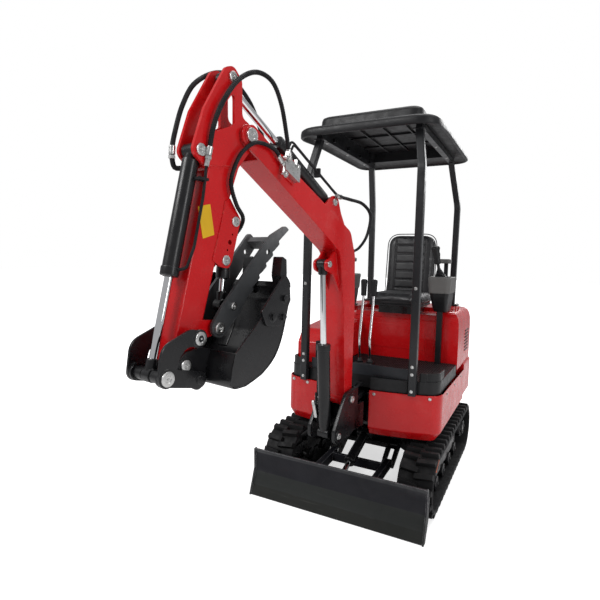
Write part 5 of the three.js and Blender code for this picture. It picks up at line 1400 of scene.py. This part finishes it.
def hood():
    """The bonnet, round the seat box, with rounded upper edges, louvres and a rail."""
    x0, x1 = SEAT_BOX_X
    y1 = 330.3
    b = Build()
    levels = [
        (10, 0, 641), (9, 0, 700), (10, 0, 880), (12, 2, 930), (19, 8, 962), (31, 18, 984), (48, 32, 996),
        (70, 50, HOOD_TOP),
    ]
    rings = []
    for inset, step, z in levels:
        front = FLOOR_REAR + 0.3 + step
        ring = tail_line(front, inset) + [
            (x0 - 0.3, front), (x0 - 0.3, y1), (x1 + 0.3, y1), (x1 + 0.3, front)]
        rings.append([house(x, y, z) for x, y in ring])
    loft(b, rings)
    b.done("hood_shell", "red_paint", "house", "red_paint", ["engine_hood"], 42)

    b = Build()
    for k in range(7):
        z = 720 + 22 * k
        for sign in (1, -1):
            b.box((-0.5 + sign * 449, 330, z), (sign * 449 + 2.5 * sign, 470, z + 9), house, 1)
    for k in range(9):
        z = 700 + 24 * k
        line = [(x, math.sqrt((TAIL_RADIUS - 9) ** 2 - x * x)) for x in range(-150, 151, 15)]
        ring = line + [(x, y + 3) for x, y in reversed(line)]
        b.prism(ring, z, z + 10, house, 0.8)
    b.done("hood_louvres", "black_plastic", "house")

    b = Build()
    corners = [(400, 190, 996), (404, 190, 1022), (404, 300, 1022), (400, 300, 996)]
    b.tube(bent([house(*p) for p in corners], 16 * MM), 5, 12)
    b.done("hood_rail", "red_paint", "house", "red_paint")


def seat_box():
    x0, x1 = SEAT_BOX_X
    b = Build()
    b.box((x0, FLOOR_REAR + 0.3, 421), (x1, 330, 936), house, 5, 3)
    b.box((x0, FLOOR_REAR + 0.3, 940), (x1, 330, 975), house, 5, 3)
    b.box((x0 + 5, FLOOR_REAR + 4, 930), (x1 - 5, 326, 945), house, 0)
    b.box((x0 + 70, FLOOR_REAR - 2.5, 740), (x1 - 60, FLOOR_REAR + 3, 900), house, 2.5)
    b.done("seat_box_panels", "red_paint", "house", "red_paint", ["seat_box"])


def side_cover():
    x0, x1, y0 = -438, -190, -400
    b = Build()
    b.prism(rounded([(y0, 676), (y0, 800, 30), (y0 + 60, 880, 40), (60, 920, 30), (60, 676)], 10),
            x0, x1, profile, 12, 4)
    b.box((y0 + 40, 720, x1 - 1), (20, 850, x1 + 2.5), profile, 2.5)
    b.done("side_cover_panel", "red_paint", "house", "red_paint", ["side_cover"])
    b = Build()
    b.box((-300, -428, 676), (-200, -401, 820), house, 3)
    b.lathe([(0, 13), (3, 13), (4, 10), (4, 0)], house(-228, -428, 712), Vector((0, -1, 0)), 24)
    b.done("front_panel", "grey_paint", "house")


POST_CLEAR = 31


def floor_tray():
    """The floor tray with its notch for the swing bracket and its cut-outs for the front posts."""
    clear = POST_CLEAR
    edge = front_line(0, FLOOR_REAR, 14, 60)
    half = [(NOTCH, KICK_Y - 10), (NOTCH, front_y(NOTCH) + 14)]
    half += [(x, y) for x, y in edge if NOTCH < x < POST_X - clear]
    half += [(POST_X - clear, front_y(POST_X - clear) + 14), (POST_X - clear, POST_Y + clear),
             (POST_X + clear, POST_Y + clear), (POST_X + clear, front_y(POST_X + clear) + 14)]
    half += [(x, y) for x, y in edge if x > POST_X + clear]
    b = Build()
    b.prism(half + mirror(half), 605.6, FLOOR_TOP, house, 2.5)
    for sign in (1, -1):
        lip = front_line(POST_X + clear, -330, 16, 60)
        inner = [(x - 12 if y > -470 else x - 6, y + 12) for x, y in lip]
        rim = [(sign * x, y) for x, y in lip + inner[::-1]]
        b.prism(rim, FLOOR_TOP - 2, FLOOR_TOP + 46, house, 4, 3)
    b.done("floor_tray", "black_plastic", "house", "grey_paint", ["floor_plate"])


def kick_panel():
    """The upright panel between the front posts, open round the swing bracket."""
    b = Build()
    kick = POST_X - POST_CLEAR
    notch = NOTCH + 2
    panel = [
        (-kick, 607), (-notch, 607), (-notch, FLOOR_TOP - 2), (notch, FLOOR_TOP - 2), (notch, 607),
        (kick, 607), (kick, 735), (-kick, 735),
    ]
    b.prism(panel, KICK_Y - 11, KICK_Y, elevation, 3)
    b.done("kick_panel", "grey_paint", "house", "grey_paint")


def floor_mat():
    """The mat's ribs, with a plain strip on the right and short ones beside it."""
    b = Build()
    count, pitch, first, rear = 66, 13.2, -430, 56
    for k in range(count):
        x = first + pitch * k
        if abs(x + 250) < 55:
            continue
        front = front_y(x) + 32
        if abs(x) < POST_X - POST_CLEAR:
            front = KICK_Y + 4
        elif abs(x) < POST_X + POST_CLEAR + 6:
            front = POST_Y + POST_CLEAR + 6
        back = -404 if x < -186 else rear
        b.box((x - 3.4, front, FLOOR_TOP - 1), (x + 3.4, back, FLOOR_TOP + 3.2), house, 1.2, 1)
    b.done("floor_mat", "mat_rubber", "house", "grey_paint")


def panel_bolts():
    """Bolts of the kick panel and the skirts."""
    b = Build()
    for x in (130, 205, 272, -130, -205, -272):
        b.bolt(house(x, KICK_Y - 11, 622), (0, -1, 0), 5, 4)
    for x, z in ((118, 588), (405, 590), (-300, 588), (-405, 590)):
        b.bolt(house(x, front_y(x), z), (0, -1, 0), 6, 5)
    for sign in (1, -1):
        for y in (-300, -60, 180):
            b.bolt(house(sign * HOUSE_HALF, y, 580), (sign, 0, 0), 6, 5)
    b.done("panel_bolts", "bare_steel", "house", "bare_steel")


# ---------------------------------------------------------------- canopy

ROOF_FRONT, ROOF_REAR, ROOF_HALF = -585, 530, 395
ROOF_BOTTOM, ROOF_EDGE, ROOF_SKIN = 1990, 2042, 14
BUMP_HEIGHT, BUMP_FRONT, BUMP_SIDE, BUMP_REAR = 76, 100, 100, 130
ROOF_DROOP = 6  # how far the rim's upper part hangs at the sides and the rear
ROOF_ARCH = 12  # how far its lower edge rises behind the front corners


def square_tube(b, ends, half, corner=7):
    """A square tube with rounded corners along placed points, with its sides facing X and Y."""
    rings = []
    for p in ends:
        p = Vector(p)
        ring = rounded(oblong(-half, -half, half, half, corner), 4)
        rings.append([p + Vector((x * MM, y * MM, 0)) for x, y in ring])
    loft(b, rings)


def canopy():
    """Two bent posts a side, with the rail between them, their feet and their bolts."""
    top = ROOF_EDGE - ROOF_SKIN - 0.3
    for sign, side in ((1, "left"), (-1, "right")):
        b = Build()
        post = [(POST_X, POST_Y, 605.4), (POST_X, POST_Y, POST_BEND_Z), (POST_TOP_X, POST_TOP_Y, top - 30)]
        square_tube(b, bent([house(sign * x, y, z) for x, y, z in post], 90 * MM, 8), 20, 6)
        post = [
            (REAR_X, REAR_Y, 1010), (REAR_BEND_X, REAR_Y, REAR_BEND_Z), (REAR_TOP_X, REAR_TOP_Y, top - 30)]
        square_tube(b, bent([house(sign * x, y, z) for x, y, z in post], 120 * MM, 8), 20, 6)
        b.box((sign * REAR_X - 45, REAR_Y - 40, 1000.4), (sign * REAR_X + 45, REAR_Y + 40, 1012), house, 3)
        x = sign * POST_TOP_X
        b.box((x - 17, POST_TOP_Y - 20, top - 34), (x + 17, REAR_TOP_Y + 20, top), house, 3)
        b.box((x - 30, POST_TOP_Y - 30, top - 40), (x + 30, POST_TOP_Y + 30, top - 33), house, 2)
        b.done(f"canopy_tubes_{side}", "post_paint", "house", "black_paint", [f"canopy_frame_{side}"])
    b = Build()
    for sign in (1, -1):
        for x, y in ((-34, -28), (34, -28), (-34, 28), (34, 28)):
            b.bolt(house(sign * REAR_X + x, REAR_Y + y, 1012), UP, 6, 6)
        for z in (630, 720, 760, 1170):
            b.bolt(house(sign * POST_X, POST_Y - 20, z), (0, -1, 0), 6, 5)
        for y in (-380, -60, 260):
            b.bolt(house(sign * POST_TOP_X, y, top - 34), (0, 0, -1), 6, 5)
    b.done("canopy_bolts", "bare_steel", "house", "bare_steel")


def even(line, count):
    """A closed outline redrawn with points evenly spaced along it."""
    points = [Vector(p) for p in line]
    return spaced(points + [points[0]], [i / count for i in range(count)])


def roof():
    """The moulded roof: a dish with a rolled rim that droops and arches, and a raised middle."""
    def ring(side, front, rear, z, radius):
        left, right = -ROOF_HALF + side, ROOF_HALF - side
        near, far = ROOF_FRONT + front, ROOF_REAR - rear
        line = rounded(oblong(left, near, right, far, radius), 14)
        placed = []
        for p in even(line, 240):
            beside = max(0.0, (abs(p.x) - 250) / (ROOF_HALF - 250))
            behind = max(0.0, (p.y - 200) / (ROOF_REAR - 200))
            if z > ROOF_BOTTOM + 10:
                shift = -ROOF_DROOP * min(1.0, beside ** 2 + behind ** 2)
            else:
                along = min(1.0, max(0.0, (p.y - ROOF_FRONT - 60) / 260))
                shift = ROOF_ARCH * along * along * (3 - 2 * along)
            placed.append(house(p.x, p.y, z + shift))
        return placed

    edge, low, crown = ROOF_EDGE, ROOF_BOTTOM, ROOF_EDGE + BUMP_HEIGHT
    dish = [
        (60, edge - 14, 80), (34, edge - 16, 96), (24, edge - 22, 105), (19, low + 9, 108), (15, low, 112),
        (6, low, 120), (0, low + 6, 125), (0, edge - 22, 125), (3, edge - 10, 121), (12, edge - 3, 112),
    ]
    under = [(BUMP_SIDE + 15, BUMP_FRONT + 15, BUMP_REAR + 15, crown - 18, 46),
             (BUMP_SIDE + 14, BUMP_FRONT + 14, BUMP_REAR + 14, edge - 10, 46)]
    raised = [
        (BUMP_SIDE + side, BUMP_FRONT + front, BUMP_REAR + rear, z, radius)
        for side, front, rear, z, radius in (
            (-10, -10, -10, edge, 66), (0, -2, 0, edge + 4, 62), (5, 2, 5, crown - 22, 60),
            (10, 6, 12, crown - 9, 58), (22, 18, 26, crown - 2, 52), (40, 36, 50, crown, 44))
    ]
    b = Build()
    rings = [ring(*level) for level in under]
    rings += [ring(inset, inset, inset, z, radius) for inset, z, radius in dish]
    rings += [ring(*level) for level in raised]
    loft(b, rings)
    b.done("roof_shell", "black_plastic", "house", "black_plastic", ["roof"], 50)

    b = Build()
    for x in (-140, 0, 140):
        b.box((x - 4, -455, edge + 44), (x + 4, 360, crown - 14), house, 2)
    for y in (-300, -50, 200):
        b.box((-265, y - 4, edge + 46), (265, y + 4, crown - 14), house, 2)
    for y in (-330, -110, 110, 300):
        b.box((-300, y - 5, edge - 34), (-250, y + 5, edge - 12), house, 3)
        b.box((250, y - 5, edge - 34), (300, y + 5, edge - 12), house, 3)
    b.done("roof_ribs", "black_plastic", "house", "black_plastic")


# ---------------------------------------------------------------- controls

def console(sign):
    """A console on its stalk: black base, grey tray and wrist rest, with its joystick."""
    side = "left" if sign > 0 else "right"
    inner = 268 if sign > 0 else 238
    x0, x1 = sorted((sign * inner, sign * (inner + 138)))
    middle, front, rear = (x0 + x1) / 2, -70, 170

    def ring(inset, z, radius, lean=0.0):
        near, far = front + inset + lean, rear - inset * 0.4
        line = rounded(oblong(x0 + inset, near, x1 - inset, far, radius), 6)
        return [house(x, y, z) for x, y in line]

    b = Build()
    loft(b, [ring(30, 1004, 22, 46), ring(24, 1030, 24, 30), ring(16, 1090, 26, 8), ring(13, 1128, 26, 2)])
    b.box((middle - 12, rear - 34, 1208), (middle + 12, rear - 12, 1306), house, 4)
    if sign > 0:
        b.box((x0 + 50, 10, 676), (x0 + 84, 44, 1030), house, 4)
    else:
        b.box((x0 + 30, 110, 1001), (x1 - 20, 160, 1010), house, 3)
    for k in range(3):
        b.box((middle - 30 + 21 * k, 60, 1200), (middle - 14 + 21 * k, 88, 1213), house, 2.5)
    b.done(f"console_base_{side}", "black_plastic", "house", "grey_plastic")

    b = Build()
    loft(b, [
        ring(20, 1120, 24), ring(10, 1122, 26), ring(7, 1128, 28), ring(2, 1190, 32), ring(0, 1208, 34),
        ring(1, 1218, 34), ring(6, 1222, 32), ring(12, 1219, 30), ring(14, 1206, 28), ring(22, 1204, 24),
    ])
    rest = rounded(oblong(middle - 34, 78, middle + 34, rear - 4, 22, 26), 6)
    b.prism(rest, 1304, 1332, house, 9, 4)
    b.done(f"console_shell_{side}", "grey_plastic", "house", "grey_plastic", [f"console_{side}"], 40)
    joystick(sign, side, house(middle, -10, 1204))


def joystick(sign, side, base):
    """A leaning lever in a folded boot, with a grip and one button."""
    b = Build()
    lean = Vector((-0.2 * sign, -0.06, 1)).normalized()
    folds = [(0, 44)]
    for k in range(7):
        folds += [(9 * k + 3, 44 - 4.4 * k), (9 * k + 8, 37 - 4.2 * k)]
    b.lathe(folds + [(70, 11), (70, 0)], base, lean, 32)
    b.lathe([(60, 9), (112, 9)], base, lean, 20)
    b.lathe([
        (96, 0), (96, 13), (100, 18), (112, 20), (126, 18), (142, 20), (156, 23), (168, 21), (180, 23),
        (190, 27), (198, 27), (205, 22), (208, 0),
    ], base, lean, 28)
    button = base + lean * (192 * MM) + Vector((0, -24 * MM, 0))
    b.lathe([(0, 6), (5, 6), (6, 4), (6, 0)], button, Vector((0, -1, 0.2)), 14)
    b.done(f"joystick_{side}", "black_plastic", "house", "grey_plastic")


def levers():
    b = Build()
    for x in (-52, 12):
        line = [(-330, 700), (-348, 845), (-306, 1050), (-300, 1118)]
        b.tube(bent([house(x, y, z) for y, z in line], 40 * MM), 7.5, 16)
    b.done("lever_rods", "chrome_rod", "house", "chrome_rod", ["travel_levers"])
    b = Build()
    for x in (-52, 12):
        grip = [(0, 14), (3, 17), (20, 16.5), (60, 18), (85, 20), (96, 18), (100, 10), (100, 0)]
        boot = [(0, 24), (6, 22), (12, 26), (18, 20), (26, 23), (32, 16), (44, 11), (44, 0)]
        b.lathe(grip, house(x, -300, 1100), Vector((0, 0.02, 1)), 24)
        b.lathe(boot, house(x, -331, 688), UP, 24)
    b.box((-75, -360, 676), (35, -300, 709), house, 5)
    b.done("lever_grips", "black_plastic", "house", "black_plastic")


# ---------------------------------------------------------------- seat

SEAT_X, SEAT_WIDTH, SEAT_FRONT, SEAT_REAR = 62, 360, -80, 270
CUSHION_BOTTOM, BACK_TOP, BACK_LEAN, BACK_REAR = 1032, 1505, 55, 318


class Pad:
    """A cushion's own directions: a across and b along it from its middle, c out of its base."""

    def __init__(self, middle, along, out, width, length, thick):
        self.middle, self.along, self.out = middle, Vector(along).normalized(), Vector(out).normalized()
        self.across = self.along.cross(self.out)
        self.width, self.length, self.thick = width, length, thick

    def place(self, a, b, c):
        return self.middle + (self.across * a + self.along * b + self.out * c) * MM

    def read(self, point):
        offset = (point - self.middle) / MM
        return offset.dot(self.across), offset.dot(self.along), offset.dot(self.out)

    def form(self, corner, crown, tip=1.0):
        """A closed pad: outlines that pull in towards its base, and a crowned face."""
        levels = [(14, 0), (3, 5), (0, 16), (0, 0.5 * self.thick), (2, 0.72 * self.thick),
                  (7, 0.87 * self.thick), (16, 0.96 * self.thick), (30, self.thick)]
        levels += [(30 + 16 * k, self.thick + crown * (1 - (1 - k / 8) ** 2)) for k in range(1, 9)]
        rings = []
        for inset, c in levels:
            w, l = self.width / 2 - inset, self.length / 2 - inset
            radius = max(8, corner - 0.5 * inset)
            top = max(8, radius * tip)
            line = rounded(oblong(-w, -l, w, l, radius, top), 10)
            rings.append([self.place(p.x, p.y, c) for p in even(line, 160)])
        b = Build()
        loft(b, rings)
        return b


def near_line(point, line):
    """The distance from a point to a straight line between two others."""
    (a, b), (a0, b0, a1, b1) = point, line
    da, db = a1 - a0, b1 - b0
    u = max(0.0, min(1.0, ((a - a0) * da + (b - b0) * db) / (da * da + db * db)))
    return math.hypot(a - a0 - da * u, b - b0 - db * u)


def remesh(piece, size):
    voxels = piece.modifiers.new("voxels", "REMESH")
    voxels.mode, voxels.voxel_size = "VOXEL", size
    take_mesh(piece)


def take_mesh(piece):
    """Applies what a piece's modifiers make, with its material kept."""
    bpy.context.view_layer.update()
    solid = piece.evaluated_get(bpy.context.evaluated_depsgraph_get())
    mesh = bpy.data.meshes.new_from_object(solid)
    piece.modifiers.clear()
    piece.data = mesh
    for polygon in mesh.polygons:
        polygon.use_smooth = True


def swell(piece, most):
    """Blows the cover up under pressure, as foam fills it. No point moves further than most."""
    rest = [v.co.copy() for v in piece.data.vertices]
    settings = piece.modifiers.new("cloth", "CLOTH").settings
    settings.quality = 4
    settings.mass = 0.4
    settings.tension_stiffness = settings.compression_stiffness = 18
    settings.bending_stiffness = 1.2
    settings.use_pressure = True
    settings.uniform_pressure_force = 4
    settings.effector_weights.gravity = 0
    scene = bpy.context.scene
    for moment in range(1, 21):
        scene.frame_set(moment)
    solid = piece.evaluated_get(bpy.context.evaluated_depsgraph_get())
    moved = [v.co.copy() for v in solid.data.vertices]
    piece.modifiers.clear()
    scene.frame_set(1)
    for vertex, before, after in zip(piece.data.vertices, rest, moved):
        step = after - before
        vertex.co = before + step * min(1.0, most / max(step.length, 1e-9))


def sew(piece, pad, lines, deep, wide):
    """Presses sewn channels into a pad's face, with small gathers along them."""
    for vertex in piece.data.vertices:
        a, b, c = pad.read(vertex.co)
        if c < 0.55 * pad.thick:
            continue
        sink = 0.0
        for line in lines:
            d = near_line((a, b), line)
            if d < 4 * wide:
                gather = 1 + 0.22 * math.sin(0.55 * (a + b)) * math.sin(0.31 * (a - b))
                sink = max(sink, deep * gather * math.exp(-(d / wide) ** 2))
        vertex.co -= pad.out * (sink * MM)


def padded_piece(name, pad, corner, tip, crown, lines, node):
    piece = pad.form(corner, crown, tip).done(name, "vinyl", "house", "vinyl", [node], 60)
    piece.modifiers.clear()
    remesh(piece, 0.005)
    swell(piece, 0.007)
    smooth = piece.modifiers.new("smooth", "SMOOTH")
    smooth.factor, smooth.iterations = 0.6, 3
    take_mesh(piece)
    sew(piece, pad, lines, 6.5, 4.6)
    fine = piece.modifiers.new("fine", "SUBSURF")
    fine.levels = fine.render_levels = 1
    take_mesh(piece)


def seat():
    """The padded cushion and back with their piping, on a ribbed shell."""
    lean = math.atan2(BACK_LEAN, BACK_TOP - CUSHION_BOTTOM)
    width, length = SEAT_WIDTH, SEAT_REAR - SEAT_FRONT
    middle = house(SEAT_X, (SEAT_FRONT + SEAT_REAR) / 2, CUSHION_BOTTOM)
    cushion = Pad(middle, (0, 1, 0), UP, width - 14, length - 10, 70)
    wing = 0.30 * width
    lines = [(sign * wing, -length / 2 + 8, sign * wing, length / 2 - 30) for sign in (1, -1)]
    lines += [(-wing, b, wing, b) for b in (-95, -35, 25, 85)]
    padded_piece("cushion_pad", cushion, 46, 0.7, 7, lines, "seat_cushion")

    foot = CUSHION_BOTTOM + 14
    tall = (BACK_TOP - foot) / math.cos(lean) - 8
    along = Vector((0, math.sin(lean), math.cos(lean)))
    out = Vector((0, -math.cos(lean), math.sin(lean)))
    middle = house(SEAT_X, BACK_REAR, foot) + along * (tall / 2 * MM)
    back = Pad(middle, along, out, width - 30, tall, 52)
    lines = [(sign * wing * 0.92, -tall / 2 + 12, sign * wing * 0.92, tall / 2 - 44) for sign in (1, -1)]
    lines += [(-wing * 0.92, b, wing * 0.92, b) for b in (-150, -90, -30, 30, 90, 150)]
    padded_piece("back_pad", back, 44, 2.0, 7, lines, "seat_back")

    b = Build()
    for pad, corner, tip, lift in ((cushion, 46, 0.7, 0.42), (back, 44, 2.0, 0.4)):
        w, l = pad.width / 2 + 6.5, pad.length / 2 + 6.5
        line = rounded(oblong(-w, -l, w, l, corner, corner * tip), 10)
        path = [pad.place(p.x, p.y, pad.thick * lift) for p in even(line, 120)]
        b.tube(path + [path[0]], 3.2, 10)
    b.done("seat_piping", "black_plastic", "house", "vinyl")

    b = Build()
    w, l = back.width / 2 - 4, back.length / 2 - 4
    b.prism(rounded(oblong(-w, -l, w, l, 30, 80), 10), -9, 6, back.place, 5, 3)
    for a in (-90, 0, 90):
        b.prism(rounded(oblong(a - 9, -l + 40, a + 9, l - 60, 8), 4), -14, -6, back.place, 3)
    base = rounded(oblong(-w - 6, -165, w + 6, 168, 40, 30), 8)
    b.prism(base, -4, 8, cushion.place, 4, 3)
    b.done("seat_shell", "black_plastic", "house", "vinyl")


NODE_LOOKS = {
    "track_frame_left": "black_paint", "track_frame_right": "black_paint",
    "sprocket_left": "black_paint", "sprocket_right": "black_paint",
    "carbody": "black_paint", "base_frame": "black_paint", "slew_ring": "bare_steel",
    "dozer_blade": "blade_paint", "engine": "cast_block",
}
camera()
stage()
hoses()
arm_fittings()
boom_fittings()
valve()
cylinder_pipes()
boom()
arm()
pins()
cylinders()
links()
hitch()
bucket()
thumb()
bracket()
for side in (1, -1):
    track(side)
    console(side)
wheel_trim()
skirts()
hood()
seat_box()
side_cover()
floor_tray()
kick_panel()
floor_mat()
panel_bolts()
canopy()
roof()
levers()
seat()
for node_name in frame["nodes"]:
    soften(node_name, NODE_LOOKS.get(node_name, SLOTS[node_name]))

bpy.context.view_layer.update()
